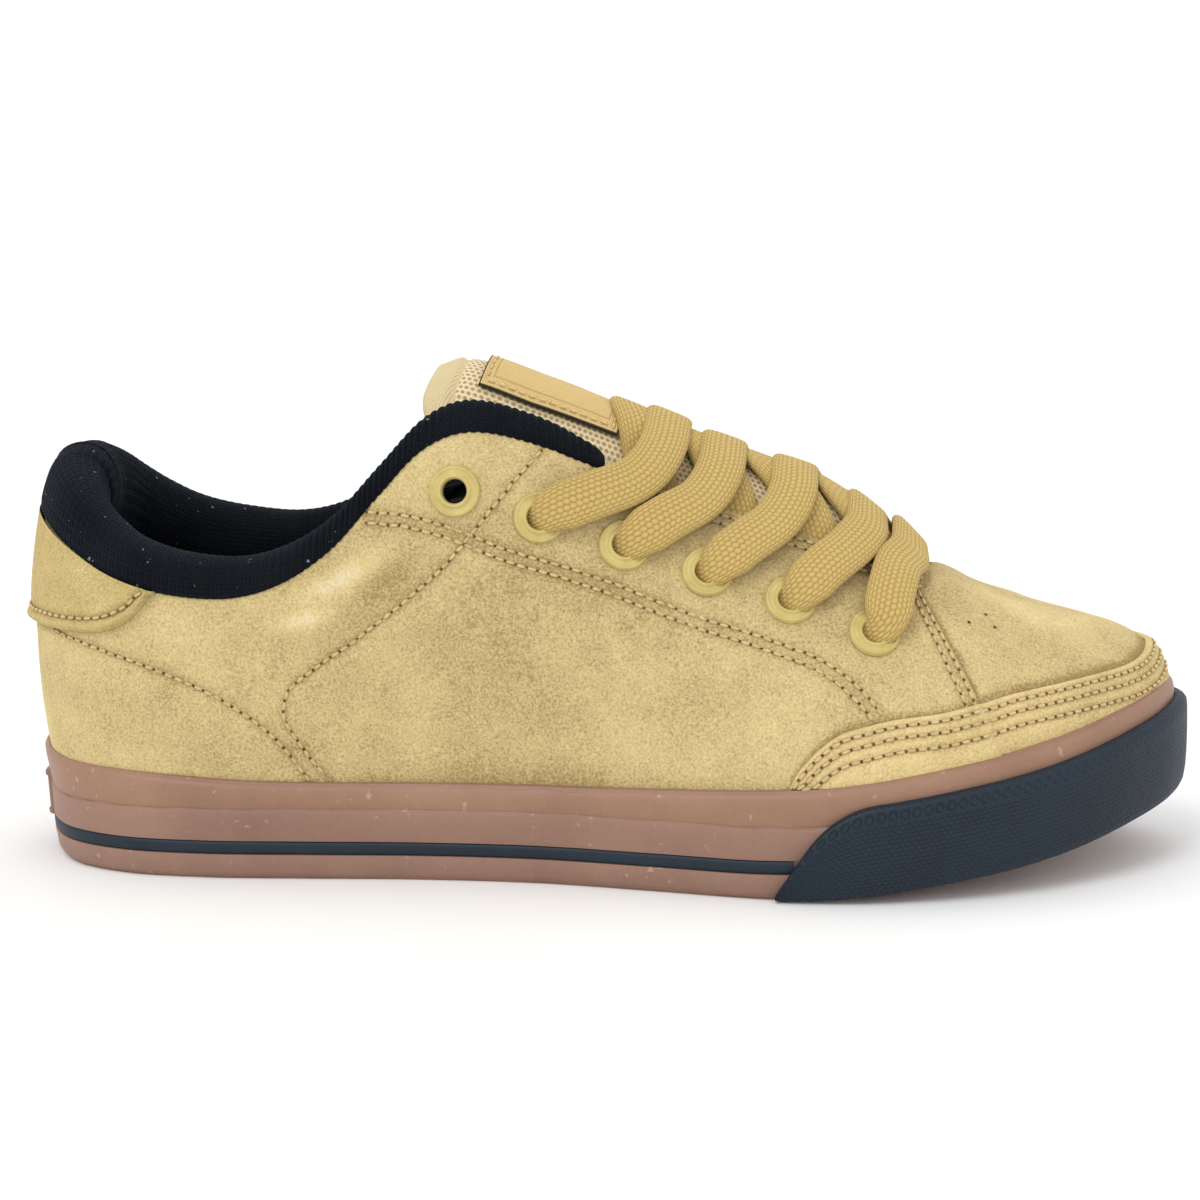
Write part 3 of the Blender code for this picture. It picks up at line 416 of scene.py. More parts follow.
def on_foxing(p, row):
    side, t = round_shoe(p)
    z, back = foxing_rows(side, t)[row]
    return wall_point(side, t, z, FOXING_LIFT + back)


BAND_ROW = 13  # the first row of the top band
rows = list(range(len(foxing_rows(NEAR, 0))))
mesh = laid(
    list(np.linspace(0, 2, 561)), rows, on_foxing, (SIDE_LENGTH, 0.001), lambda p, row: int(row >= BAND_ROW)
)
made_piece("foxing", mesh, [gum, lit_gum_band], outward=(0, 0, 0.012), sharp=60)
for material_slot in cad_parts["cupsole"].material_slots:
    material_slot.material = gum


# Stripe: a dark rubber cord, rolled flat into the groove of the foxing, from one end of the toe
# guard round the heel to the other.

STRIPE_END = 0.640


def dark_rubber(name, color, rough):
    look, tree, shader = finish_of(name, rough, Specular_IOR_Level=0.35)
    place = coords(tree)
    cloud = noise(tree, place, 60, 5)
    colour = ramp(tree, cloud, (0.3, tuple(0.75 * c for c in color)), (0.7, tuple(1.25 * c for c in color)))
    dust = ramp(tree, noise(tree, place, 380, 3, 0.75), (0.66, (0, 0, 0)), (0.80, (1, 1, 1)))
    colour = mix(tree, times(tree, dust, 0.11), colour, (0.08, 0.11, 0.135, 1))
    dyed(tree, shader, colour)
    uneven_shine(tree, shader, cloud, rough - 0.1, rough + 0.12)
    return look, tree, shader


def on_stripe(p, row):
    side, t = round_shoe(p % 2)
    z = bottom_z(side, t) + STRIPE_HEIGHT + STRIPE_WIDTH * (row - 0.5) * 0.98
    return wall_point(side, t, z, FOXING_LIFT - 0.0005 + 0.00055 * (1 - abs(2 * row - 1) ** 4))


stripe_look, tree, shader = dark_rubber("dark rubber of the stripe", (0.0060, 0.0150, 0.0270), 0.5)
raised(tree, shader, (noise(tree, coords(tree), 900, 2), 0.00004))
run = list(np.linspace(2 - STRIPE_END, 2 + STRIPE_END, 361))
mesh = laid(run, list(np.linspace(0, 1, 9)), on_stripe, (SIDE_LENGTH, STRIPE_WIDTH))
made_piece("foxing_stripe", mesh, [stripe_look], ["stripe"], outward=(-0.02, 0, 0.008))


# Toe guard: dark rubber, moulded with a fine knurl and a row of small rings under its top edge, and
# cemented round the toe of the foxing, so that it stands proud of it.

BUMPER_THICKNESS = 0.0029
BUMPER_REVEAL = 0.0046
RING_PITCH = 0.0027
RING_HEIGHT = 0.0186  # of the rings' middles over the guard's foot
BUMPER_RISE = (
    (0.628, 0.06), (0.640, 0.35), (0.655, 0.68), (0.675, 0.92), (0.700, 1.00), (1.000, 1.00),
)
bumper_rise_at = table(BUMPER_RISE)

# Its section: share of its height, share of its thickness
BUMPER_SECTION = (
    (0.000, 0.10), (0.000, 0.55), (0.010, 0.80), (0.035, 0.93), (0.10, 0.98), (0.22, 1.01), (0.36, 1.03),
    (0.5, 1.04), (0.64, 1.03), (0.78, 1.01), (0.88, 0.98), (0.945, 0.92), (0.980, 0.80), (0.997, 0.60),
    (1.00, 0.40), (0.995, 0.05),
)


# How far up the guard's face each row of the section is, in metres
BUMPER_GIRTH = (
    0.0005, 0.0010, 0.0015, 0.0020, 0.003, 0.0055, 0.0085, 0.0112, 0.0138, 0.0165, 0.0185, 0.0197, 0.0203,
    0.0207, 0.021, 0.022,
)


def woven(tree, place, width, height, gap):
    """Staggered rows of small blocks, of yarn or of rubber: 1 in the gaps between them."""
    sizes = {"Brick Width": width, "Row Height": height, "Mortar Size": gap, "Mortar Smooth": 1.0}
    return node(tree, "TexBrick", {"Vector": place, "Scale": 1.0, **sizes}).outputs["Fac"]


def uv_parts(tree, place):
    split = node(tree, "SeparateXYZ", {0: place})
    return split.outputs[0], split.outputs[1]


def on_bumper(p, row):
    side, t = round_shoe(p)
    bottom = bottom_z(side, t) + 0.0003
    full = foxing_top(side, t) - BUMPER_REVEAL - bottom
    up, out = BUMPER_SECTION[row]
    toe = (t - BUMPER_RISE[0][0]) / (1 - BUMPER_RISE[0][0])
    proud = BUMPER_THICKNESS * out * (1 + 0.10 * toe * (out > 0.9))
    return wall_point(side, t, bottom + full * bumper_rise_at(t)[0] * up, proud)


bumper_look, tree, shader = dark_rubber("toe guard rubber", (0.0050, 0.0150, 0.0275), 0.52)
place = coords(tree, from_uv=True)
knurl = woven(tree, place, 0.0015, 0.0009, 0.00022)
run, height = uv_parts(tree, place)
across = minus(tree, math(tree, "FRACT", divided(tree, run, RING_PITCH)), 0.5)
upward = divided(tree, minus(tree, height, RING_HEIGHT), RING_PITCH)
reach = math(tree, "SQRT", plus(tree, times(tree, across, across), times(tree, upward, upward)))
ring = minus(tree, 1.0, least(tree, times(tree, absolute(tree, minus(tree, reach, 0.33)), 9.0), 1.0))
plain = math(tree, "GREATER_THAN", absolute(tree, upward), 0.6)
raised(
    tree, shader, (times(tree, minus(tree, 1.0, knurl), plain), 0.00022), (ring, 0.00030),
    (noise(tree, coords(tree), 300, 3), 0.00012),
)
mesh = laid(
    there_and_back(list(np.linspace(BUMPER_RISE[0][0], 1, 170))), list(range(len(BUMPER_SECTION))), on_bumper
)
uv = mesh.loops.layers.uv.active
for face in mesh.faces:
    for loop in face.loops:
        u, row = loop[uv].uv
        loop[uv].uv = (u * SIDE_LENGTH, BUMPER_GIRTH[round(row)])
made_piece(
    "toe_guard", mesh, [bumper_look], ["toe_bumper"], outward=(0.06, 0, 0.02), sharp=60
)


# Heel badge: a small plate of the same rubber on the back of the cup, left bare.

badge_look = gum_rubber("badge rubber", (0.30, 0.17, 0.12), (0.225, 0.125, 0.088), 0.45)
BADGE_WIDTH, BADGE_HEIGHT, BADGE_THICKNESS = 0.022, 0.012, 0.0014

# Its section: share of its height, share of its thickness
BADGE_SECTION = (
    (-0.5, 0.0), (-0.5, 0.6), (-0.46, 0.95), (-0.38, 1.0), (-0.34, 0.72), (0.34, 0.72), (0.38, 1.0),
    (0.46, 0.95), (0.5, 0.6), (0.5, 0.0),
)


def on_badge(a, row):
    up, out = BADGE_SECTION[row]
    side = NEAR if a < 0 else FAR
    edge = clamped((0.5 - abs(a)) / 0.03)
    t = abs(a) * BADGE_WIDTH / SIDE_LENGTH
    z = LEDGE_HEIGHT + BADGE_HEIGHT * (up - 0.3) + TOE_SPRING * SPRING[0][1]
    return wall_point(side, t, z, FOXING_LIFT - 0.0001 + (0.0003 + BADGE_THICKNESS) * out * sqrt(edge))


widths = [0.5 * sin(k / 24 * pi / 2) for k in range(-24, 25)]
mesh = laid(widths, list(range(len(BADGE_SECTION))), on_badge)
made_piece("badge", mesh, [badge_look], ["heel_badge"], outward=(0, 0, 0.014), sharp=50)


# Upper: suede over a textile lining, drawn over the last, with its foot between the foxing and the
# insole. The quarters lie over the vamp with a stitched edge, and carry the eyelet holes. Every seam
# is drawn in a little in the nap, with painted shade along it. The lining is a dark woven cloth.

UPPER_WALL = 0.0022
LINING_GAP = 0.0012  # between the wall and what lies inside it
SEAM = 0.7875  # station of the quarter's front edge
SEAM_STEP = 0.0022  # stations over which that edge rises
RIDGE_START = 0.820  # station past which the two top edges meet as one ridge
COLLAR_END = 0.515

# Top edge of the suede: station, x share, near y share, far y share, share of the instep's height
EDGE = (
    (0.000, 0.013, 0.0, 0.0, 0.825), (0.050, 0.022, -0.24, 0.24, 0.800),
    (0.100, 0.052, -0.46, 0.45, 0.745), (0.140, 0.090, -0.58, 0.56, 0.688),
    (0.183, 0.132, -0.645, 0.61, 0.651), (0.231, 0.187, -0.68, 0.64, 0.636),
    (0.279, 0.242, -0.69, 0.65, 0.668), (0.321, 0.290, -0.685, 0.64, 0.752),
    (0.353, 0.327, -0.665, 0.62, 0.860), (0.384, 0.363, -0.633, 0.59, 0.960),
    (0.420, 0.404, -0.593, 0.565, 1.000), (0.465, 0.456, -0.537, 0.52, 0.968),
    (0.507, 0.504, -0.472, 0.48, 0.913), (0.553, 0.556, -0.405, 0.43, 0.860),
    (0.604, 0.614, -0.365, 0.40, 0.807), (0.660, 0.673, -0.34, 0.385, 0.757),
    (0.725, 0.732, -0.315, 0.37, 0.695), (0.775, 0.768, -0.25, 0.32, 0.662),
    (0.800, 0.780, -0.11, 0.20, 0.668), (0.820, 0.786, 0.056, 0.056, 0.674),
    (0.850, 0.812, 0.078, 0.078, 0.644), (0.890, 0.843, 0.104, 0.104, 0.607),
    (0.930, 0.866, 0.128, 0.128, 0.584), (0.965, 0.886, 0.148, 0.148, 0.569),
    (1.000, 0.903, 0.164, 0.164, 0.560),
)

# How much higher the far edge is: station, share of the instep's height
FAR_LIFT = (
    (0.00, 0.0), (0.05, 0.020), (0.11, 0.040), (0.20, 0.043), (0.30, 0.026), (0.36, 0.008), (0.42, 0.0),
)

# Bend of the wall: station, forward angle, dip and pull at the top, flare and pull at the foot
BEND = (
    (0.00, -90, 78, 0.34, 11, 0.40), (0.05, -60, 78, 0.34, 11, 0.39), (0.10, -35, 80, 0.33, 8, 0.36),
    (0.16, -12, 82, 0.30, 4, 0.33), (0.23, 0, 84, 0.28, 3, 0.33), (0.32, 0, 82, 0.28, 2, 0.33),
    (0.38, 0, 76, 0.30, 1, 0.33), (0.42, 3, 68, 0.30, 0, 0.35), (0.50, 8, 58, 0.30, 0, 0.38),
    (0.60, 12, 49, 0.30, 2, 0.40), (0.70, 12, 42, 0.30, 3, 0.40), (0.775, 14, 28, 0.32, 3, 0.40),
    (0.82, 10, 4, 0.38, 3, 0.42), (0.85, 18, 7, 0.44, 5, 0.44), (0.90, 38, 10, 0.50, 7, 0.50),
    (0.94, 58, 10, 0.52, 9, 0.54), (0.97, 74, 10, 0.54, 10, 0.55), (1.00, 90, 10, 0.55, 10, 0.55),
)
edge_at, far_lift_at, bend_at = table(EDGE), table(FAR_LIFT), table(BEND)

# Seams of the quarter, the same on both sides: station, share of the wall's height
SHOULDER_SEAM = (
    (0.345, 0.955), (0.370, 0.835), (0.400, 0.735), (0.440, 0.665), (0.480, 0.645), (0.515, 0.63),
    (0.545, 0.605), (0.580, 0.58), (0.610, 0.565), (0.640, 0.54), (0.655, 0.525), (0.675, 0.485),
    (0.690, 0.43), (0.703, 0.36),
)
SWEEP_SEAM = (
    (0.468, 0.985), (0.450, 0.88), (0.435, 0.80), (0.420, 0.735), (0.408, 0.69), (0.394, 0.655),
    (0.375, 0.632), (0.330, 0.612), (0.300, 0.585), (0.281, 0.53), (0.277, 0.44), (0.285, 0.34),
    (0.295, 0.25), (0.307, 0.165),
)
HEEL_SEAM = (
    (0.004, 0.615), (0.060, 0.635), (0.110, 0.658), (0.145, 0.668), (0.175, 0.652), (0.200, 0.615),
    (0.220, 0.57), (0.237, 0.515), (0.257, 0.43), (0.275, 0.315), (0.292, 0.17),
)


@lru_cache(maxsize=None)
def rib(side, t):
    """The four control points of the wall at a station, from its foot to its top edge."""
    point, normal = outline(side, t)
    flat = point - normal * (FOXING_WALL * 0.85 + QUARTER_RAISE + 0.0006)
    foot = np.array((*flat, floor_z(side, t) + 0.0003))
    x, near_y, far_y, z = edge_at(t)
    z += far_lift_at(t)[0] if side == FAR else 0
    y = (near_y if side == NEAR else far_y) if t < RIDGE_START else (near_y + far_y) / 2
    top = np.array((along(x), y * HALF, z * INSTEP_HEIGHT))
    forward, dip, top_pull, flare, foot_pull = bend_at(t)
    forward, dip, flare = radians(forward), radians(dip), radians(flare)
    size = np.linalg.norm(top - foot)
    down = np.array((sin(forward), side * cos(forward), 0)) * cos(dip) - np.array((0, 0, sin(dip)))
    rise = np.array((*(normal * sin(flare)), cos(flare)))
    return foot, foot + rise * size * foot_pull, top + down * size * top_pull, top


def surface(side, t, h):
    """The last's face: h runs from 0 at the foot of the wall to 1 at its top edge."""
    a, b, c, d = rib(side, t)
    k = 1 - h
    return k**3 * a + 3 * k * k * h * b + 3 * k * h * h * c + h**3 * d


@lru_cache(maxsize=200000)
def surface_normal(side, t, h):
    step = 0.004
    if t < step or t > 1 - step:
        other = 2 * step if t < step else 1 - 2 * step
        under = min(h, 0.95)
        way = (surface(FAR, other, under) - surface(NEAR, other, under)) * (-1 if t < step else 1)
    else:
        way = (surface(side, t + step, h) - surface(side, t - step, h)) * -side
    return unit(np.cross(way, surface(side, t, min(h + 0.01, 1)) - surface(side, t, max(h - 0.01, 0))))


def seam_station(h):
    """Where the quarter's front edge passes, further back at the top."""
    return SEAM + 0.0135 - 0.028 * h


def raise_at(t, h):
    """The quarter lies over the vamp, with a soft cut edge."""
    behind = (seam_station(h) - t) / SEAM_STEP
    return QUARTER_RAISE * clamped(behind) ** 0.5


def skin(side, t, h, out=0.0):
    return surface(side, t, h) + surface_normal(side, t, h) * (raise_at(t, h) + out)


def spot_on(side, t, h, out=0.0):
    """A place on the skin or over it, and the way out there."""
    return skin(side, t, h, out), surface_normal(side, t, h)


def crossing(low, high, before, halvings):
    """The place between low and high up to which before(place) holds."""
    for _ in range(halvings):
        middle = (low + high) / 2
        if before(middle):
            low = middle
        else:
            high = middle
    return low


def height_on(side, t, z):
    """The h at which the wall passes a height."""
    return crossing(0.0, 1.0, lambda h: surface(side, t, h)[2] < z, 18)


def rise_of(side, t, low, high):
    """Metres of wall for each unit of h, between two heights."""
    return np.linalg.norm(surface(side, t, high) - surface(side, t, low)) / (high - low)


def course(spots, step):
    """Points about a step apart on a smooth line through the spots, with the directions out there."""
    points = np.array([spot[0] for spot in spots])
    keys = lengths_along(points)
    line = table(np.column_stack([keys, points, [spot[1] for spot in spots]]))
    count = max(int(keys[-1] / step), 2)
    found = [line(keys[-1] * k / count) for k in range(count + 1)]
    return [(place[:3], unit(place[3:])) for place in found]


def beside(line, shift):
    """The line moved sideways on its surface."""
    moved = []
    for k, (point, out) in enumerate(line):
        ahead = line[min(k + 1, len(line) - 1)][0] - line[max(k - 1, 0)][0]
        moved.append((point + unit(np.cross(out, ahead)) * shift, out))
    return moved


def spots_on(side, rows):
    return [spot_on(side, t, h) for t, h in rows]


seams = []
for side in (NEAR, FAR):
    shoulder = course(spots_on(side, SHOULDER_SEAM), 0.001)
    seams += [shoulder, beside(shoulder, -0.0026 * side)]
    seams += [course(spots_on(side, SWEEP_SEAM), 0.001), course(spots_on(side, HEEL_SEAM), 0.001)]
    for behind, top in ((0.0045, 0.97), (0.0125, 0.93)):
        front = [(seam_station(h) - behind, h) for h in np.linspace(0.34, top, 12)]
        seams.append(course(spots_on(side, front), 0.001))
    for inset in (0.0017, 0.0042):
        eyestay = []
        for t in np.linspace(COLLAR_END - 0.01, 0.792, 30):
            eyestay.append(spot_on(side, t, 1 - inset / rise_of(side, t, 0.9, 1.0)))
        seams.append(course(eyestay, 0.001))


def suede_stations():
    even = list(np.linspace(0, 1, 281))
    return sorted({*even, SEAM - SEAM_STEP, SEAM - 0.0015, SEAM - 0.0008, SEAM - 0.0003, SEAM})


def warped(t, h):
    return t + (seam_station(h) - SEAM) * exp(-(((t - SEAM) / 0.03) ** 2))


def on_suede(p, row):
    """Rows up to 1 climb the outside, and the last ones turn over the cut edge."""
    side, t = round_shoe(p)
    h = min(row, 1.0)
    t = warped(t, h) if 0 < t < 1 else t
    turn = max(row - 1, 0) / 0.03
    if t >= RIDGE_START - 0.003 or not turn:
        return skin(side, t, h)
    return skin(side, t, 1.0, -UPPER_WALL * turn) + np.array((0, 0, 0.0005)) * sin(pi * turn)


def scuffs_and_painted_light(p, h):
    """Where the nap is worn pale, with painted highlight along the folds under the collar's dip, painted
    light on the top of the toe and low on the heel, and painted shade under the collar's dip and along the
    foot of the wall.
    """
    side, t = round_shoe(p)
    wear_and_painted_light, patch = (0.9, 0.6) if side == NEAR else (0.3, 0.0)
    pale = wear_and_painted_light * exp(-(((t - 0.328) / 0.030) ** 2) - ((h - 0.845 + (t - 0.328) * 1.7) / 0.045) ** 2)
    pale += patch * exp(-(((t - 0.300) / 0.022) ** 2) - ((h - 0.79 + (t - 0.300) * 1.4) / 0.035) ** 2)
    pale += 0.35 * exp(-(((t - 0.90) / 0.05) ** 2) - ((h - 0.80) / 0.12) ** 2)
    pale += 0.30 * exp(-(((t - 0.02) / 0.05) ** 2) - ((h - 0.25) / 0.2) ** 2)
    pale -= 0.35 * exp(-(((t - 0.36) / 0.03) ** 2) - ((h - 0.72) / 0.07) ** 2)
    pale -= 0.30 * exp(-(((h - 0.12) / 0.05) ** 2))
    return pale


# Top edge of the mudguard: station, near and far height, shares of the instep's height
MUDGUARD = (
    (0.634, 0.222, 0.222), (0.640, 0.262, 0.262), (0.650, 0.300, 0.300), (0.668, 0.345, 0.345),
    (0.700, 0.375, 0.375), (0.760, 0.395, 0.395), (0.820, 0.425, 0.430), (0.880, 0.445, 0.460),
    (0.940, 0.460, 0.490), (1.000, 0.490, 0.490),
)
mudguard_at = table(MUDGUARD)


def mudguard_top(side, t):
    return INSTEP_HEIGHT * mudguard_at(t)[0 if side == NEAR else 1]


def beside_edges(p, h):
    """The shade on the vamp along the cut edges of the quarter and of the mudguard."""
    side, t = round_shoe(p)
    past = warped(t, min(h, 1.0)) - seam_station(h)
    shade = 2.2 * exp(-((past / 0.0036) ** 2)) * (past > -0.0006) * (h < 1)
    if t > MUDGUARD[0][0] and h < 0.97:
        over_mudguard = skin(side, t, h)[2] - mudguard_top(side, t)
        shade = max(shade, 1.8 * exp(-(((over_mudguard - 0.0004) / 0.0012) ** 2)))
    return shade


def suede(name, color):
    """Napped suede, which reads its worn places and its painted light from one mark, and its painted shade
    from the other.
    """
    look, tree, shader = finish_of(
        name, 0.95, Specular_IOR_Level=0.12, Sheen_Weight=0.12, Sheen_Roughness=0.5,
        Sheen_Tint=(1.0, 0.86, 0.55, 1),
    )
    place = coords(tree)
    cloud, mottle = noise(tree, place, 18, 4, 0.6), noise(tree, place, 110, 5, 0.65)
    nap, fibre = noise(tree, place, 1650, 3, 0.7), noise(tree, coords(tree, (1, 1, 0.5)), 2600, 2, 0.6)
    tone = plus(tree, times(tree, cloud, 0.30), times(tree, mottle, 0.16))
    tone = plus(tree, tone, times(tree, nap, 0.54))
    # The pale mark: worn nap, with painted highlight, painted light and painted shade laid over it.
    wear_and_painted_light = node(tree, "Attribute", attribute_name="pale").outputs["Fac"]
    sunk = node(tree, "Attribute", attribute_name="sunk").outputs["Fac"]
    broken = times(tree, wear_and_painted_light, plus(tree, times(tree, mottle, 0.9), 0.1))
    tone = plus(tree, tone, times(tree, broken, 0.50))
    # Painted shade: darker along the seams and beside the cut edges.
    tone = minus(tree, tone, times(tree, sunk, 0.08))
    dark, light = (color[0] * 0.60, color[1] * 0.54, color[2] * 0.46), tuple(c * 1.26 for c in color)
    colour = ramp(tree, tone, (0.37, dark), (0.49, color), (0.59, light), (0.78, (0.80, 0.70, 0.50)))
    dyed(tree, shader, colour)
    raised(tree, shader, (mottle, 0.00022), (nap, 0.00035), (fibre, 0.00012))
    return look


suede_look = suede("suede", (0.560, 0.436, 0.208))

# Shallow folds of the upper: side, (station, share of the wall's height), depth, half width
FOLDS = (
    (NEAR, ((0.286, 0.92), (0.312, 0.85), (0.345, 0.76)), 0.0007, 0.0045),
    (NEAR, ((0.338, 0.96), (0.352, 0.89), (0.374, 0.80)), 0.0005, 0.0032),
    (NEAR, ((0.838, 0.60), (0.848, 0.76), (0.850, 0.93)), 0.0006, 0.0045),
    (NEAR, ((0.878, 0.66), (0.885, 0.80), (0.884, 0.93)), 0.0004, 0.0035),
    (NEAR, ((0.075, 0.30), (0.110, 0.38), (0.150, 0.40)), 0.0005, 0.0055),
    (FAR, ((0.290, 0.90), (0.318, 0.82), (0.350, 0.74)), 0.0007, 0.0045),
    (FAR, ((0.842, 0.62), (0.850, 0.78), (0.852, 0.94)), 0.0006, 0.0045),
    (FAR, ((0.090, 0.34), (0.130, 0.40), (0.170, 0.40)), 0.0005, 0.0055),
)
suede_cut, tree, shader = finish_of("cut edge of the suede", 0.9, Specular_IOR_Level=0.1)
mottled(tree, shader, 1500, 3, (0.36, 0.24, 0.09), (0.52, 0.37, 0.15))
raised(tree, shader, (noise(tree, coords(tree), 1500, 3), 0.0002))

EYELETS = 6
EYELET_FIRST = 0.735
EYELET_PITCH = 0.0199


def inset_height(side, t, inset):
    """The h that lies an inset down from the top edge."""
    h = 1.0
    while np.linalg.norm(surface(side, t, h) - rib(side, t)[3]) < inset:
        h -= 0.004
    return h


@lru_cache(maxsize=None)
def eyelet_spot(side, number):
    """Station and height of an eyelet, numbered from the toe."""
    x = along(EYELET_FIRST) - (number - 1) * EYELET_PITCH
    inset = 0.0135 if number == EYELETS else 0.0175 + 0.0048 * max(0, (4 - number) / 3) ** 1.5
    t = crossing(0.30, 0.79, lambda t: surface(side, t, inset_height(side, t, inset))[0] < x, 20)
    return t, inset_height(side, t, inset)


eyelet_places = {
    (side, number): spot_on(side, *eyelet_spot(side, number))
    for side in (NEAR, FAR)
    for number in range(1, EYELETS + 1)
}


def open_holes(mesh, reach):
    """Takes away the faces inside each eyelet."""
    lost = []
    for face in mesh.faces:
        middle = np.array(face.calc_center_median())
        if any(np.linalg.norm(middle - place) < reach for place, _ in eyelet_places.values()):
            lost.append(face)
    bmesh.ops.delete(mesh, geom=lost, context="FACES")


def nearest_of(points):
    """A tree that finds the nearest of the points."""
    found = KDTree(len(points))
    for index, place in enumerate(points):
        found.insert(place, index)
    found.balance()
    return found


climb = [*np.linspace(0, 1, 71), 1.008, 1.016, 1.023, 1.03]
mesh = laid(
    there_and_back(suede_stations()), climb, on_suede, (SIDE_LENGTH, 0.09),
    look=lambda p, row: int(row >= 1), marks=(("pale", scuffs_and_painted_light), ("sunk", beside_edges)),
)
open_holes(mesh, 0.0042)
bmesh.ops.remove_doubles(mesh, verts=mesh.verts, dist=SAME_POINT)
sunk = mesh.verts.layers.float["sunk"]
mesh.normal_update()
outside = 1 if looks_out(mesh, (0, 0, 0.05)) else -1
near_seam = nearest_of([point for line in seams for point, _ in line])
fold_points = []
for side, rows, deep, wide in FOLDS:
    line = course(spots_on(side, rows), 0.001)
    for k, (point, _) in enumerate(line):
        fold_points.append((point, deep * sin(pi * (k + 1) / (len(line) + 1)) ** 0.7, wide))
near_fold = nearest_of([point for point, _, _ in fold_points])
for vert in mesh.verts:
    near = near_seam.find(vert.co)[2]
    depth = exp(-((near / 0.0011) ** 2))
    puff = exp(-(((near - 0.0028) / 0.0014) ** 2))
    _, index, aside = near_fold.find(vert.co)
    _, deep, wide = fold_points[index]
    fold = deep * (0.45 * exp(-(((aside - 1.7 * wide) / (0.8 * wide)) ** 2)) - exp(-((aside / wide) ** 2)))
    vert.co += vert.normal * outside * (0.00016 * puff - 0.00042 * depth + fold)
    # The seam's groove is also marked for painted shade.
    vert[sunk] = max(depth, vert[sunk])
suede_tree = BVHTree.FromBMesh(mesh)
made_piece("suede_upper", mesh, [suede_look, suede_cut], ["upper"], outward=(0, 0, 0.05), sharp=75)

lining_look, tree, shader = finish_of("lining cloth", 0.95, Specular_IOR_Level=0.1, Sheen_Weight=0.1)
place = coords(tree, from_uv=True)
weave = woven(tree, place, 0.0014, 0.0007, 0.0002)
colour = mix(tree, weave, (0.020, 0.022, 0.026, 1), (0.006, 0.007, 0.009, 1))
worn = times(tree, noise(tree, coords(tree), 60, 4), 0.5)
colour = mix(tree, worn, colour, (0.035, 0.036, 0.040, 1))
dyed(tree, shader, colour)
raised(tree, shader, (minus(tree, 1.0, weave), 0.0002))


def on_lining(p, h):
    side, t = round_shoe(p)
    return skin(side, t, min(h, 0.97) if t > RIDGE_START - 0.004 else h, -UPPER_WALL)


around = there_and_back(list(np.linspace(0, 1, 131)))
mesh = laid(around, list(np.linspace(0.0, 1.0, 30)), on_lining, (SIDE_LENGTH, 0.09))
open_holes(mesh, 0.0036)
made_piece("lining", mesh, [lining_look], outward=(0, 0, 0.05))


# Insole: a foam sock liner in cloth, dropped in on the floor of the cup, dished a little at the heel
# and left bare.


def on_insole(t, a):
    """a runs across, from -1 at the near wall to 1 at the far one."""
    ends = []
    for side in (NEAR, FAR):
        foot = surface(side, t, 0)
        ends.append(np.array((*(foot[:2] - outline(side, t)[1] * (UPPER_WALL + LINING_GAP)), foot[2])))
    point = ends[0] + (ends[1] - ends[0]) * (a + 1) / 2
    edge = sqrt(max(0.0, 1 - abs(a) ** 10))
    lift = 0.0038 * edge + 0.0010 * abs(a) ** 3 * edge
    return point + np.array((0, 0, lift))


insole_look, tree, shader = finish_of("sock liner cloth", 0.95, Specular_IOR_Level=0.1, Sheen_Weight=0.15)
place = coords(tree)
speck = noise(tree, place, 1300, 3, 0.7)
colour = ramp(tree, speck, (0.35, (0.016, 0.016, 0.018)), (0.68, (0.050, 0.050, 0.056)))
dyed(tree, shader, colour)
raised(tree, shader, (speck, 0.0002), (noise(tree, place, 90, 3), 0.0004))
lengths = [(1 - cos(k / 150 * pi)) / 2 for k in range(151)]
mesh = laid(lengths, [sin(k / 20 * pi / 2) for k in range(-20, 21)], on_insole)
made_piece("sock_liner", mesh, [insole_look], ["insole"])


# Mudguard and heel tab: two more pieces of suede, laid over the toe and over the heel. Their edges
# are cut, folded a little by the stitching, and the heel tab's lower edge is turned over a cord.

OVERLAY = 0.0016
OVERLAY_GAP = 0.0001
TAB_TOP = 0.995  # share of the wall's height

# Lower edge of the heel tab: station, share of the instep's height
HEEL_TAB = (
    (0.000, 0.555), (0.060, 0.550), (0.110, 0.545), (0.150, 0.560), (0.172, 0.600), (0.183, 0.640),
    (0.187, 0.668),
)
heel_tab_at = table(HEEL_TAB)
TAB_END = HEEL_TAB[-1][0]


@lru_cache(maxsize=None)
def mudguard_span(side, t):
    low = height_on(side, t, foxing_top(side, t) - 0.002)
    high = height_on(side, t, mudguard_top(side, t))
    return low, max(high, low + 0.012)


def on_mudguard(p, v):
    """v runs up the outside to 1, where the cut edge comes down to the suede under it."""
    side, t = round_shoe(p)
    low, high = mudguard_span(side, t)
    full = OVERLAY * clamped((t - MUDGUARD[0][0]) / 0.004) ** 0.5
    edge = (1 - v) * (high - low) * rise_of(side, t, low, high)
    lift = full * (1 - max(0.0, 1 - edge / 0.0012) ** 2.5)
    return skin(side, t, low + (high - low) * v, OVERLAY_GAP + lift)


starts = [*np.linspace(MUDGUARD[0][0], 0.66, 40), *np.linspace(0.6625, 1, 130)]
ups = [*np.linspace(0, 0.86, 22), 0.89, 0.915, 0.935, 0.95, 0.962, 0.973, 0.982, 0.990, 0.996, 1.0]
# Its marks: the suede is paler towards the top edge, and the cut edge is painted dark as shade.
mesh = laid(
    there_and_back(starts), ups, on_mudguard, (SIDE_LENGTH, 0.03),
    marks=(("pale", lambda u, v: 0.25 * v), ("sunk", lambda u, v: 2.2 * (v > 0.993))),
)
mud_look = suede("suede of the mudguard", (0.570, 0.440, 0.205))


@lru_cache(maxsize=None)
def tab_foot(side, t):
    return min(height_on(side, t, INSTEP_HEIGHT * heel_tab_at(t)[0]), 0.97)


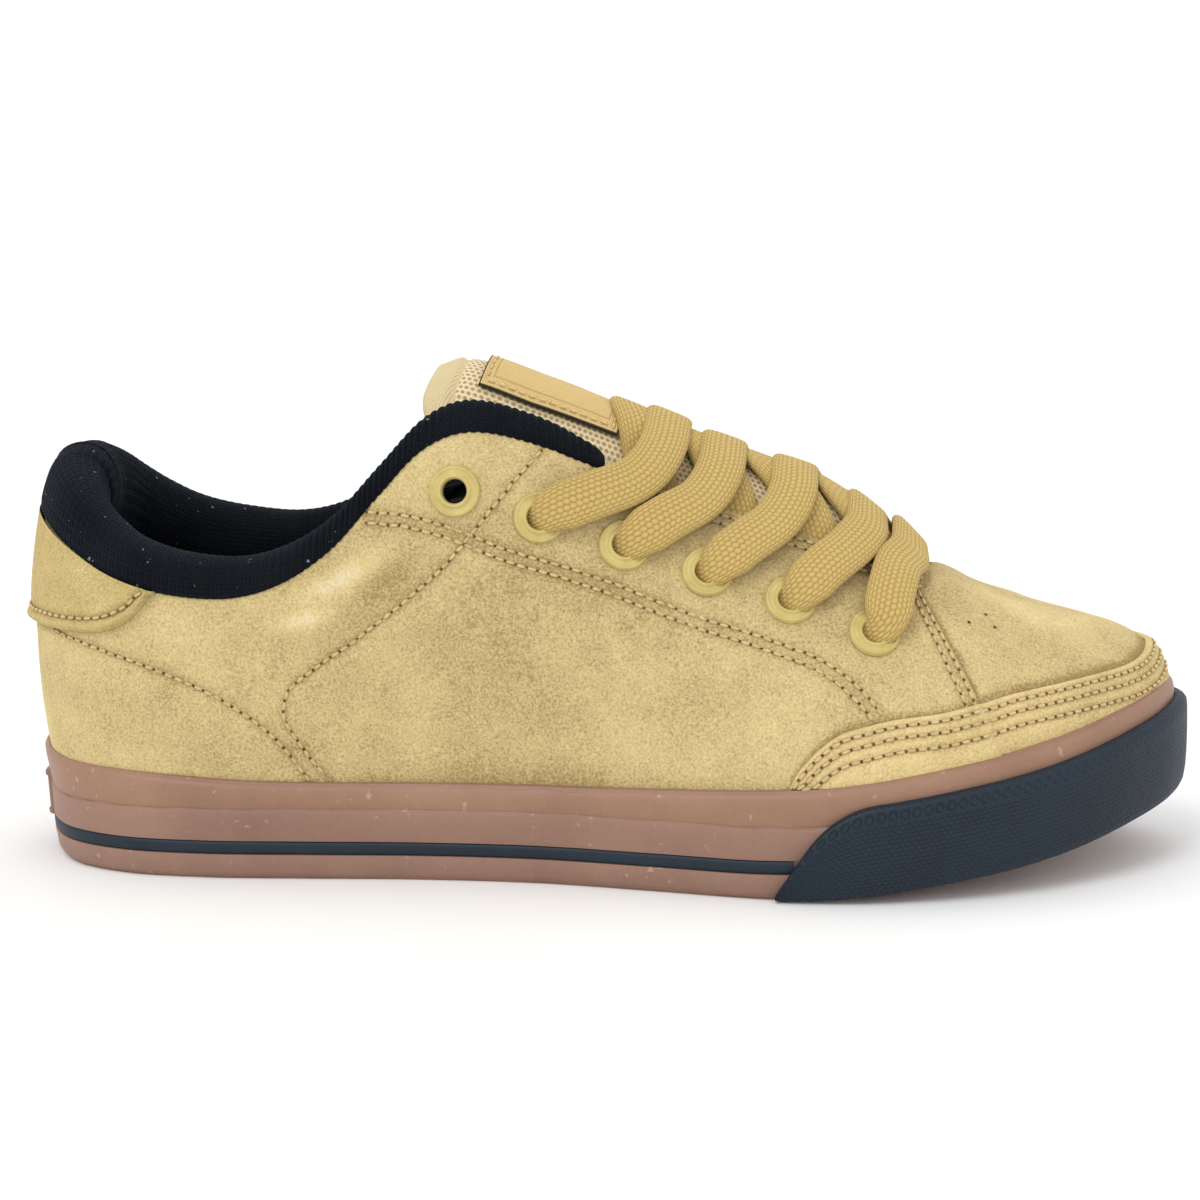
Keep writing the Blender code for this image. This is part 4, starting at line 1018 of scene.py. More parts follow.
def on_tab(p, v):
    side, t = round_shoe(p % 2)
    low = tab_foot(side, t)
    from_foot = v * (TAB_TOP - low) * rise_of(side, t, low, TAB_TOP)
    from_edge = min(from_foot, (TAB_END - t) * SIDE_LENGTH)
    bead = 0.0009 * exp(-(((from_edge - 0.0016) / 0.0011) ** 2))
    lift = OVERLAY * (1 - max(0.0, 1 - from_edge / 0.0010) ** 2.5)
    return skin(side, t, low + (TAB_TOP - low) * v, OVERLAY_GAP + lift + bead * (from_edge > 0))


tab_ts = [TAB_END * sin(k / 60 * pi / 2) for k in range(61)]
tab_us = [*[2 - t for t in tab_ts[:0:-1]], *[2 + t for t in tab_ts]]
tab_vs = [0, 0.01, 0.02, 0.035, 0.05, 0.07, 0.09, 0.115, 0.14, 0.17, 0.21, *np.linspace(0.26, 1, 22)]


def sewn_line(tree, points, step=0.001):
    """The line's points set down on a surface."""
    found = []
    for point in points:
        place, out, _, _ = tree.find_nearest(Vector(point))
        found.append((np.array(place), np.array(out)))
    return course(found, step)


def sink(mesh, lines, depth=0.0004, width=0.0010):
    """Draws the surface in along its seams, and marks painted shade along them."""
    near_line = nearest_of([point for line in lines for point, _ in line])
    mesh.normal_update()
    mark = mesh.verts.layers.float["sunk"]
    for vert in mesh.verts:
        drawn = exp(-((near_line.find(vert.co)[2] / width) ** 2))
        vert[mark] = max(drawn, vert[mark])
        middle = Vector((clamped(vert.co.x, -0.10, 0.06), 0, 0.03))
        out = 1 if vert.normal.dot(vert.co - middle) > 0 else -1
        vert.co -= vert.normal * out * depth * drawn


mud_lines = []
for inset in (0.0020, 0.0046, 0.0078):
    spots = []
    start = 0.6375 + inset * 0.9
    for p in np.linspace(start, 2 - start, 120):
        side, t = round_shoe(p)
        low, high = mudguard_span(side, t)
        h = max(high - inset / rise_of(side, t, low, high), low + 0.02)
        spots.append(spot_on(side, t, h, OVERLAY))
    mud_lines.append(course(spots, 0.001))
sink(mesh, mud_lines)
made_piece("toe_overlay", mesh, [mud_look], ["mudguard"], outward=(0.05, 0, 0.02), sharp=70)

# Its marks: a line of painted shade along the tab's lower edge.
mesh = laid(
    tab_us, tab_vs, on_tab, (SIDE_LENGTH, 0.02),
    marks=(("pale", lambda u, v: 0.1), ("sunk", lambda u, v: 2.2 * (v < 0.005))),
)
tab_spots = []
for p in np.linspace(-TAB_END + 0.008, TAB_END - 0.008, 60):
    side, t = round_shoe(p % 2)
    low = tab_foot(side, t)
    h = min(low + 0.0036 / rise_of(side, t, low, TAB_TOP), 0.985)
    tab_spots.append(spot_on(side, t, h, OVERLAY))
tab_line = course(tab_spots, 0.001)
sink(mesh, [tab_line], 0.0005)
tab_look = suede("suede of the heel tab", (0.470, 0.358, 0.148))
made_piece("heel_overlay", mesh, [tab_look], ["heel_tab"], outward=(-0.10, 0, 0.06), sharp=70)


# Stitching: a waxed thread in rows of short stitches, each pulled into the suede between two holes
# of the needle.

STITCH_PITCH = 0.0027
STITCH_LENGTH = 0.0021
THREAD = 0.00042  # half its thickness
NEEDLE_HOLE = 0.00042
PINHOLE = 0.00048


def between(at, lengths, rows):
    """The rows' values at a length along them."""
    return np.array([np.interp(at, lengths, column) for column in rows.T])


def sew(line, lift=0.0):
    """Stitches along a line of points a millimetre apart, and between each two a dark disc of painted shade
    for the needle's hole.
    """
    row, row_holes = bmesh.new(), bmesh.new()
    points, outs = np.array([point for point, _ in line]), np.array([out for _, out in line])
    lengths = lengths_along(points)
    for k in range(int(lengths[-1] / STITCH_PITCH)):
        at = (k + 0.5) * STITCH_PITCH
        place, out = between(at, lengths, points), unit(between(at, lengths, outs))
        ahead = between(at + 0.001, lengths, points) - place
        if np.linalg.norm(ahead) < 0.0003:
            continue
        x = Vector(unit(ahead))
        z = Vector(out)
        y = z.cross(x).normalized()
        turn = Matrix((x, y, x.cross(y))).transposed().to_4x4()
        size = Matrix.Diagonal((STITCH_LENGTH / 2, THREAD, THREAD, 1)) @ Matrix.Rotation(pi / 2, 4, "Y")
        middle = Matrix.Translation(Vector(place) + z * (lift + 0.00018))
        bmesh.ops.create_uvsphere(row, u_segments=6, v_segments=6, radius=1, matrix=middle @ turn @ size)
        hole = Matrix.Translation(Vector(place) - x * STITCH_PITCH / 2 + z * (lift + 0.00007))
        bmesh.ops.create_circle(row_holes, cap_ends=True, segments=7, radius=NEEDLE_HOLE, matrix=hole @ turn)
    for part, whole in ((row, threads), (row_holes, holes)):
        data = bpy.data.meshes.new("row")
        part.to_mesh(data)
        part.free()
        whole.from_mesh(data)
        bpy.data.meshes.remove(data)


threads, holes = bmesh.new(), bmesh.new()
for line in seams:
    sew(sewn_line(suede_tree, [point for point, _ in line]))
for line in mud_lines:
    sew(line, -0.0001)
sew(tab_line)

thread_look, tree, shader = finish_of("waxed thread", 0.6, Specular_IOR_Level=0.3)
mottled(tree, shader, 500, 3, (0.50, 0.365, 0.165), (0.68, 0.52, 0.27))
raised(tree, shader, (noise(tree, coords(tree), 3500, 2), 0.00008))
# Needle holes: dark discs of painted shade, laid over the holes.
hole_shade_look, tree, shader = finish_of("needle holes", 0.95, Specular_IOR_Level=0.05)
mottled(tree, shader, 300, 2, (0.090, 0.052, 0.020), (0.190, 0.120, 0.050))
made_piece("stitches", threads, [thread_look])

# Three pinholes punched in the vamp beside each quarter, each a dark disc of painted shade
for side in (NEAR, FAR):
    for t, h in ((0.812, 0.63), (0.835, 0.67), (0.835, 0.61)):
        place, out, _, _ = suede_tree.find_nearest(Vector(skin(side, t, h)))
        z = Vector(surface_normal(side, t, h))
        x = z.cross(Vector((0, 0, 1))).normalized()
        turn = Matrix((x, z.cross(x), z)).transposed().to_4x4()
        at = Matrix.Translation(place + z * 0.00012)
        bmesh.ops.create_circle(holes, cap_ends=True, segments=14, radius=PINHOLE, matrix=at @ turn)
made_piece("needle_holes", holes, [hole_shade_look])


# Collar: ribbed knit over foam, a padded roll on the top edge of the suede which turns down inside
# as the lining of the heel. It thins to a flat band beside the eyestay, where it ends rounded.

COLLAR_PAD = 0.015
RIB_PITCH = 0.0021
KNIT_STITCH = RIB_PITCH / 2

# Station, height over the suede, thickness and depth inside, shares of the pad
COLLAR = (
    (0.000, 1.00, 1.12, 1.9), (0.080, 0.95, 0.95, 1.8), (0.160, 0.75, 0.80, 1.6), (0.231, 0.64, 0.68, 1.5),
    (0.300, 0.54, 0.58, 1.3), (0.360, 0.50, 0.50, 1.0), (0.420, 0.53, 0.48, 0.8), (0.480, 0.50, 0.44, 0.6),
    (0.515, 0.38, 0.38, 0.5),
)

# Section of the roll: share of its thickness inward, share of its height
COLLAR_SECTION = (
    (-0.03, -0.06), (-0.04, 0.45), (0.10, 0.82), (0.36, 1.00), (0.75, 0.98), (1.00, 0.62), (1.02, 0.00),
)
collar_at = table(COLLAR)
COLLAR_FACE = 29  # the last row of the section that shows its ribs


@lru_cache(maxsize=None)
def collar_ring(side, t):
    """The roll's section at a station: round it, down the lining, and back up under it."""
    out = surface_normal(side, t, 1)
    top = surface(side, t, 1) + out * (QUARTER_RAISE + 0.0001)
    up = unit(unit(surface(side, t, 1) - surface(side, t, 0.97)) + np.array((0, 0, 0.5)))
    height, thickness, depth = COLLAR_PAD * collar_at(t)
    ring = [top - out * thickness * inward + up * (0.0002 + height * rise) for inward, rise in COLLAR_SECTION]
    back = UPPER_WALL + LINING_GAP
    foot = max(height_on(side, t, top[2] - depth), 0.3)
    halfway, thin = 0.5 + foot / 2, back + 0.001
    for h, inward in ((halfway, max(0.6 * thickness, thin)), (foot, thin), (foot, back), (halfway, back)):
        ring.append(surface(side, t, h) + surface_normal(side, t, h) * (QUARTER_RAISE - inward))
    ring.append(top - out * back + up * 0.0003)
    return smooth_loop(np.array(ring), 4)


collar_ps = np.linspace(-COLLAR_END, COLLAR_END, 400)
collar_lengths = lengths_along(np.array([surface(*round_shoe(p % 2), 1) for p in collar_ps]))


def on_collar(length, row):
    """length runs along the roll from the far end to the near one."""
    p = float(np.interp(length, collar_lengths, collar_ps))
    side, t = round_shoe(p % 2)
    ring = collar_ring(side, round(t, 5))
    point = ring[row % len(ring)]
    middle = ring[:24].mean(axis=0)
    ends = min(length, collar_lengths[-1] - length) / 0.0032
    if ends < 1:
        return middle + (point - middle) * max(1 - (1 - ends) ** 2, 0.0004) ** 0.5
    if row % len(ring) > COLLAR_FACE:
        return point
    strong = 0.00012 + 0.00040 * clamped((t - 0.26) / 0.06)
    rib = abs(cos(pi * length / RIB_PITCH)) ** 0.8
    return point + unit(point - middle) * strong * (rib - 0.5)


knit_look, tree, shader = finish_of(
    "black ribbed knit", 0.95, Specular_IOR_Level=0.08, Sheen_Weight=0.10, Sheen_Roughness=0.4,
    Sheen_Tint=(0.35, 0.45, 0.60, 1),
)
place = coords(tree, from_uv=True)
wale = absolute(tree, math(tree, "SINE", times(tree, uv_parts(tree, place)[0], pi / KNIT_STITCH)))
loops = woven(tree, place, KNIT_STITCH, 0.0008, 0.00016)
cloud = noise(tree, coords(tree), 50, 4)
colour = ramp(tree, cloud, (0.3, (0.0035, 0.0045, 0.0065)), (0.7, (0.0095, 0.0115, 0.0155)))
colour = mix(tree, times(tree, loops, 0.5), colour, (0.001, 0.001, 0.002, 1))
fluff = ramp(tree, noise(tree, coords(tree), 520, 2, 0.5), (0.735, (0, 0, 0)), (0.76, (1, 1, 1)))
colour = mix(tree, times(tree, fluff, 0.55), colour, (0.45, 0.45, 0.42, 1))
dyed(tree, shader, colour)
hairs = noise(tree, coords(tree), 1800, 3)
raised(tree, shader, (wale, 0.00018), (minus(tree, 1.0, loops), 0.00020), (hairs, 0.00012))
ends = [0.0, 0.00008, 0.0003, 0.0006, 0.001, 0.0016, 0.0023, 0.0032]
total = collar_lengths[-1]
runs = [*ends, *np.linspace(0.0035, total - 0.0035, int(total / 0.00034)), *[total - e for e in ends[::-1]]]
mesh = laid(runs, list(range(len(collar_ring(NEAR, 0)) + 1)), on_collar, (1, 0.0011))
collar_piece = made_piece("padded_collar", mesh, [knit_look], ["collar"], sharp=80)


# Tongue: foam between two faces of spacer mesh, bound round its sides and top with a twill tape, and
# sewn in under the vamp. It arches over the instep.

TONGUE_THICKNESS = 0.0095
TONGUE_LENGTH = 0.148
TWILL_PITCH = 0.0008
BINDING = 0.0085  # width of the tape on the front

# Share of its length, x share, height share of the instep, half width share, drop of its side edge,
# sweep of the edge to the heel, thickness share
TONGUE = (
    (0.00, 0.362, 1.128, 0.36, 0.15, 0.018, 0.50), (0.06, 0.385, 1.145, 0.40, 0.18, 0.018, 0.95),
    (0.20, 0.455, 1.088, 0.41, 0.19, 0.022, 1.00), (0.34, 0.512, 1.028, 0.42, 0.19, 0.014, 0.90),
    (0.50, 0.580, 0.955, 0.43, 0.19, 0.010, 0.80), (0.64, 0.640, 0.899, 0.43, 0.19, 0.008, 0.70),
    (0.78, 0.700, 0.834, 0.43, 0.20, 0.006, 0.60), (0.87, 0.748, 0.733, 0.43, 0.18, 0.004, 0.50),
    (0.92, 0.780, 0.646, 0.43, 0.15, 0.003, 0.45), (1.00, 0.835, 0.560, 0.40, 0.120, 0.0, 0.40),
)
tongue_at = table(TONGUE)


def tongue_point(share, across):
    x, z, half, drop, sweep, _ = tongue_at(share)
    fall = abs(across) ** 1.8
    back = along(x) - sweep * SOLE_LENGTH * fall
    return np.array((back, HALF * (0.02 + half * across), INSTEP_HEIGHT * (z - drop * fall)))


@lru_cache(maxsize=None)
def tongue_normal(share, across):
    step = 0.01
    way = tongue_point(min(share + step, 1), across) - tongue_point(max(share - step, 0), across)
    low, high = max(across - step, -1), min(across + step, 1)
    return unit(np.cross(way, tongue_point(share, high) - tongue_point(share, low)))


def taped(share, across):
    """How far a place of the front is inside the tape's edge; below 0 it is under the tape."""
    half = tongue_at(share)[2] * HALF
    return min((1 - abs(across)) * half * 1.25, share * TONGUE_LENGTH) - BINDING


def on_tongue_piece(share, v):
    """v runs over the front from -1 to 1 and back behind from 1 to 3."""
    across = clamped(v if v <= 1 else 2 - v, -1.0)
    corner = 0.075 * (max(0.0, abs(across) - 0.45) / 0.55) ** 2.4
    low = corner + (1 - corner) * max(share, 0.0)
    thick = tongue_at(low)[5] * TONGUE_THICKNESS * (1 - 0.45 * abs(across) ** 4)
    out = tongue_normal(round(low, 6), round(across, 6))
    front = tongue_point(low, across)
    middle = front - out * thick / 2
    bulge = sqrt(max(0.0, 1 - abs(across) ** 14))
    inside = taped(low, across)
    tape = 0.0006 * clamped(0.5 - inside / 0.0012)
    seam = -0.0007 * exp(-((inside / 0.0010) ** 2))
    half = (thick / 2) * bulge + (tape + seam) * bulge
    if share < 0:
        turn = -share / 0.02
        half *= sqrt(max(0.0, 1 - turn * turn))
        up = unit(tongue_point(corner, across) - tongue_point(corner + 0.02, across))
        middle = middle + up * 0.0022 * turn
    side_out = np.array((0, 0.0006 * (abs(across) > 0.985) * np.sign(across), 0))
    return middle + out * half * (1 if v <= 1 else -1) + side_out


def close_up(mesh):
    """Joins the tube's two long edges, and closes its ends."""
    bmesh.ops.remove_doubles(mesh, verts=mesh.verts, dist=0.00001)
    bmesh.ops.holes_fill(mesh, edges=[edge for edge in mesh.edges if edge.is_boundary])


def grains(tree, place, width, height):
    """Staggered ovals: the square of the way out from the middle of each, 0 there and 1 at its edge."""
    run, rise = uv_parts(tree, place)
    row = divided(tree, rise, height)
    shift = times(tree, math(tree, "FLOORED_MODULO", math(tree, "FLOOR", row), 2.0), 0.5)
    at = plus(tree, divided(tree, run, width), shift)
    x, y = [times(tree, minus(tree, math(tree, "FRACT", way), 0.5), 2.0) for way in (at, row)]
    return plus(tree, times(tree, x, x), times(tree, y, y))


mesh_look, tree, shader = finish_of("spacer mesh", 0.75, Specular_IOR_Level=0.25, Sheen_Weight=0.15)
place = coords(tree, from_uv=True)
cells = grains(tree, place, 0.0017, 0.00115)
fray = noise(tree, coords(tree), 900, 3)
tone = plus(tree, cells, times(tree, minus(tree, fray, 0.5), 0.35))
colour = ramp(
    tree, tone, (0.10, (0.38, 0.245, 0.115)), (0.36, (0.58, 0.435, 0.230)), (0.62, (0.72, 0.585, 0.345)),
    (0.98, (0.80, 0.680, 0.440)),
)
dyed(tree, shader, colour)
raised(tree, shader, (least(tree, cells, 0.9), 0.00032), (fray, 0.0001))

twill_look, tree, shader = finish_of("twill tape", 0.8, Specular_IOR_Level=0.2, Sheen_Weight=0.15)
slanted = uv_parts(tree, coords(tree, turn=radians(38), from_uv=True))[0]
twill = absolute(tree, math(tree, "SINE", times(tree, slanted, pi / TWILL_PITCH)))
tone = plus(tree, times(tree, twill, 0.6), times(tree, noise(tree, coords(tree), 700, 3), 0.4))
dyed(tree, shader, ramp(tree, tone, (0.15, (0.50, 0.39, 0.20)), (0.75, (0.66, 0.54, 0.31))))
raised(tree, shader, (twill, 0.00010), (noise(tree, coords(tree), 2500, 2), 0.00006))
shares = [-0.02, -0.0185, -0.016, -0.012, -0.007, -0.003, *np.linspace(0, 1, 161)]
fronts = [sin(k / 44 * pi / 2) for k in range(-44, 45)]
mesh = laid(
    shares, there_and_back(fronts), on_tongue_piece, (TONGUE_LENGTH, 0.023),
    lambda share, v: int(taped(max(share, 0), v if v <= 1 else 2 - v) < 0),
)
close_up(mesh)
tongue_piece = made_piece("padded_tongue", mesh, [mesh_look, twill_look], ["tongue"], sharp=80)


# Label: a woven tape sewn flat on the tongue, near black along its edge and down its turned rim, and
# left bare within a woven border.

LABEL_START, LABEL_LENGTH, LABEL_WIDTH = 0.0125, 0.036, 0.022
LABEL_SEAM = 0.0014  # from its edge
LABEL_BORDER = 0.0029  # the woven line, from its edge
tongue_rows = np.linspace(0, 1, 300)
tongue_lengths = lengths_along(np.array([tongue_point(share, 0) for share in tongue_rows]))


def label_spot(u, v):
    """The tongue's share and its place across, under a place of the label in metres."""
    share = float(np.interp(LABEL_START + u, tongue_lengths, tongue_rows))
    return share, v / (tongue_at(share)[2] * HALF)


def on_label(u, v):
    """u runs down the label and v across it, in metres, with its rim turned down to the tongue."""
    share, across = label_spot(clamped(u, 0, LABEL_LENGTH), clamped(v, -LABEL_WIDTH / 2, LABEL_WIDTH / 2))
    inside = min(u, LABEL_LENGTH - u, LABEL_WIDTH / 2 - abs(v))
    lift = 0.0012 if inside >= 0 else 0.0003
    lift -= 0.00035 * exp(-(((inside - LABEL_SEAM) / 0.0005) ** 2))
    return tongue_point(share, across) + tongue_normal(round(share, 6), round(across, 6)) * (lift + 0.0006)


label_look, tree, shader = finish_of("woven label", 0.7, Specular_IOR_Level=0.25, Sheen_Weight=0.1)
place = coords(tree, from_uv=True)
weave = woven(tree, place, 0.0009, 0.00042, 0.00009)
down, aside = uv_parts(tree, place)
from_end = minus(tree, LABEL_LENGTH / 2, absolute(tree, minus(tree, down, LABEL_LENGTH / 2)))
from_side = minus(tree, LABEL_WIDTH / 2, absolute(tree, aside))
inside = least(tree, from_end, from_side)
rim = math(tree, "LESS_THAN", inside, 0.00030)
line = math(tree, "LESS_THAN", absolute(tree, minus(tree, inside, LABEL_BORDER)), 0.00022)
tone = plus(tree, weave, times(tree, noise(tree, coords(tree), 300, 3), 0.4))
colour = ramp(tree, tone, (0.1, (0.76, 0.545, 0.225)), (0.9, (0.58, 0.395, 0.140)))
colour = mix(tree, times(tree, line, 0.45), colour, (0.30, 0.16, 0.05, 1))
colour = mix(tree, rim, colour, (0.03, 0.02, 0.012, 1))
dyed(tree, shader, colour)
raised(tree, shader, (minus(tree, 1.0, weave), 0.00012))
past = 0.00001  # past the edge, where the rim is turned down
half = LABEL_WIDTH / 2
label_us = [-past, *np.linspace(0, LABEL_LENGTH, 73), LABEL_LENGTH + past]
label_vs = [-half - past, *np.linspace(-half, half, 45), half + past]
mesh = laid(label_us, label_vs, on_label)
made_piece("label", mesh, [label_look], ["tongue_label"], outward=(-0.02, 0, 0.05), sharp=50)
top, foot, aside = LABEL_SEAM, LABEL_LENGTH - LABEL_SEAM, LABEL_WIDTH / 2 - LABEL_SEAM
ring = [(u, -aside) for u in np.linspace(top, foot, 40)]
ring += [(foot, v) for v in np.linspace(-aside, aside, 24)]
ring += [(u, aside) for u in np.linspace(foot, top, 40)]
ring += [(top, v) for v in np.linspace(aside, -aside, 24)]
threads, holes = bmesh.new(), bmesh.new()
label_line = []
for u, v in ring:
    share, across = label_spot(u, v)
    label_line.append((on_label(u, v), tongue_normal(round(share, 6), round(across, 6))))
sew(label_line, 0.0001)
holes.free()
made_piece("label_stitches", threads, [thread_look])


# Eyelets: rings of pale rubber with a round top, pressed through the suede. Their faces are left
# bare.

EYELET_PROFILE = (
    (0.00330, -0.0026), (0.00300, -0.0022), (0.00296, 0.0004), (0.00305, 0.0010), (0.00335, 0.00142),
    (0.00372, 0.00150), (0.00398, 0.00136), (0.00414, 0.00106), (0.00430, 0.00094), (0.00530, 0.00094),
    (0.00552, 0.00112), (0.00588, 0.00104), (0.00612, 0.00055), (0.00620, 0.0002), (0.00615, -0.0002),
)
SIDE_NAMES = {NEAR: "near", FAR: "far"}
eyelet_look, tree, shader = finish_of(
    "pale rubber of the eyelets", 0.42, Specular_IOR_Level=0.4, Coat_Weight=0.05
)
mottled(tree, shader, 240, 4, (0.475, 0.375, 0.118), (0.590, 0.480, 0.170))
uneven_shine(tree, shader, noise(tree, coords(tree), 160, 3), 0.34, 0.56)
raised(tree, shader, (noise(tree, coords(tree), 1400, 3), 0.00006))


def frame_on(point, normal):
    z = Vector(normal).normalized()
    y = z.cross(Vector((1, 0, 0))).normalized()
    matrix = Matrix((y.cross(z), y, z)).transposed().to_4x4()
    matrix.translation = Vector(point)
    return matrix


for (side, number), (place, out) in eyelet_places.items():
    mesh = bmesh.new()
    chain = [mesh.verts.new((r, 0, z)) for r, z in EYELET_PROFILE]
    links = [mesh.edges.new(pair) for pair in zip(chain, chain[1:])]
    bmesh.ops.spin(
        mesh, geom=[*chain, *links], cent=(0, 0, 0), axis=(0, 0, 1), angle=2 * pi, steps=40, use_merge=True
    )
    bmesh.ops.recalc_face_normals(mesh, faces=mesh.faces)
    bmesh.ops.transform(mesh, matrix=frame_on(place + out * 0.0001, out), verts=mesh.verts)
    which = f"{SIDE_NAMES[side]}_{number}"
    made_piece(
        f"eyelet_ring_{which}", mesh, [eyelet_look], [f"eyelet_{which}"],
        outward=place - out * 0.004,
    )


# Lace: one flat tubular lace of thick yarn, crossed from row to row. Each strap comes up through its
# eyelet, narrow at the hole, lies over the tongue and goes down under the eyestay across from it. A
# bar joins the two first holes. The ends are tucked in at the top.

LACE_WIDTH, LACE_THICKNESS = 0.0120, 0.0034
# Row, x share where the near and the far strap pass the tongue's ridge
LACE_ROWS = ((2, 0.724, 0.697), (3, 0.665, 0.636), (4, 0.604, 0.577), (5, 0.555, 0.524))
BAR_X = 0.755
LACE_GIRTH = 0.0279  # once round the tube
LACE_SLANT = 0.0124


@lru_cache(maxsize=None)
def on_tongue(x, across):
    share = crossing(0.0, 1.0, lambda share: tongue_point(share, across)[0] < x, 22)
    return tongue_point(share, across), tongue_normal(round(share, 6), round(across, 6))


def edge_station(x):
    return crossing(0.42, RIDGE_START, lambda t: along(edge_at(t)[0]) < x, 22)


def over(spot, out):
    return spot[0] + spot[1] * out, spot[1]


def climb_of(side, number, ridge_x, lift):
    """From inside its eyelet, up past the eyestay's edge, to the tongue's ridge."""
    t, h = eyelet_spot(side, number)
    place, out = eyelet_places[side, number]
    edge_t = edge_station(place[0] + 0.75 * (ridge_x - place[0]))
    toeward = unit(skin(side, t + 0.02, min(h + 0.06, 1.0)) - place)
    stops = [(place - out * 0.0060 - toeward * 0.0025, out), (place - out * 0.0016 - toeward * 0.0004, out)]
    stops.append((place + out * 0.0022 + toeward * 0.0022, out))
    for share in (0.5, 1.0):
        spot = (side, t + (edge_t - t) * share + 0.004 * (1 - share), h + (0.98 - h) * share)
        stops.append(spot_on(*spot, 0.0028 + 0.0008 * (share == 0.5)))
    stops.append(over(on_tongue(ridge_x, side * 0.35), lift + 0.0006))
    stops.append(over(on_tongue(ridge_x, 0.0), lift))
    return stops


def strap_frames(line, lengths, runs):
    """At each place along the strap: where it is, the way across it, the way out, and its half sizes."""
    frames = {}
    for length in runs:
        before, here, after = [between(length + way, lengths, line) for way in (-0.0008, 0.0, 0.0008)]
        ahead = unit(after[:3] - before[:3])
        across = unit(np.cross(ahead, unit(here[3:])))
        spread = clamped((length - 0.0045) / 0.009)
        width = LACE_WIDTH / 2 * (0.62 + 0.38 * spread)
        thick = LACE_THICKNESS / 2 * (1.0 + 0.35 * (1 - spread))
        frames[length] = (here[:3], across, np.cross(across, ahead), width, thick)
    return frames


def on_strap(frames, length, a):
    """A place on the flat tube: a turns round its section, which is fuller beside its two edges."""
    here, across, out, width, thick = frames[length]
    x, y = cos(a), sin(a)
    ridge = 1.0 + 0.10 * exp(-(((abs(x) - 0.78) / 0.16) ** 2)) - 0.10 * exp(-((x / 0.5) ** 2))
    aside, up = np.sign(x) * abs(x) ** 0.93, np.sign(y) * abs(y) ** 0.80
    return here + across * width * aside + out * thick * up * ridge


lace_look, tree, shader = finish_of(
    "woven lace", 0.85, Specular_IOR_Level=0.15, Sheen_Weight=0.25, Sheen_Roughness=0.5,
    Sheen_Tint=(1.0, 0.85, 0.5, 1),
)
run, girth = uv_parts(tree, coords(tree, from_uv=True))
bend = absolute(tree, minus(tree, math(tree, "FRACT", divided(tree, girth, LACE_SLANT)), 0.5))
slanted = plus(tree, run, times(tree, bend, 0.004))
slant = node(tree, "CombineXYZ", {0: slanted, 1: girth, 2: 0.0}).outputs[0]
yarn = least(tree, grains(tree, slant, 0.0016, 0.00098), 1.25)
shade = plus(tree, times(tree, yarn, 0.60), times(tree, noise(tree, coords(tree), 800, 3), 0.25))
middle, between_yarns = (0.490, 0.342, 0.113), (0.355, 0.232, 0.067)
dyed(tree, shader, ramp(tree, shade, (0.12, (0.570, 0.410, 0.148)), (0.55, middle), (0.90, between_yarns)))
raised(tree, shader, (minus(tree, 1.25, yarn), 0.00014), (noise(tree, coords(tree), 3000, 2), 0.00008))


def strap(name, stops, stands_for):
    """One run of the lace through its stops, its line eased a little between them."""
    line = course(stops, 0.0006)
    rows = np.array([[*point, *out] for point, out in line])
    for _ in range(6):
        rows[1:-1] = (rows[:-2] + 2 * rows[1:-1] + rows[2:]) / 4
    lengths = lengths_along(rows[:, :3])
    runs = list(np.linspace(0, lengths[-1], int(lengths[-1] / 0.0007)))
    turns = list(np.linspace(0, 2 * pi, 37))
    frames = strap_frames(rows, lengths, runs)
    mesh = laid(runs, turns, lambda u, a: on_strap(frames, u, a), (1, LACE_GIRTH / (2 * pi)))
    close_up(mesh)
    made_piece(name, mesh, [lace_look], stands_for, sharp=80)


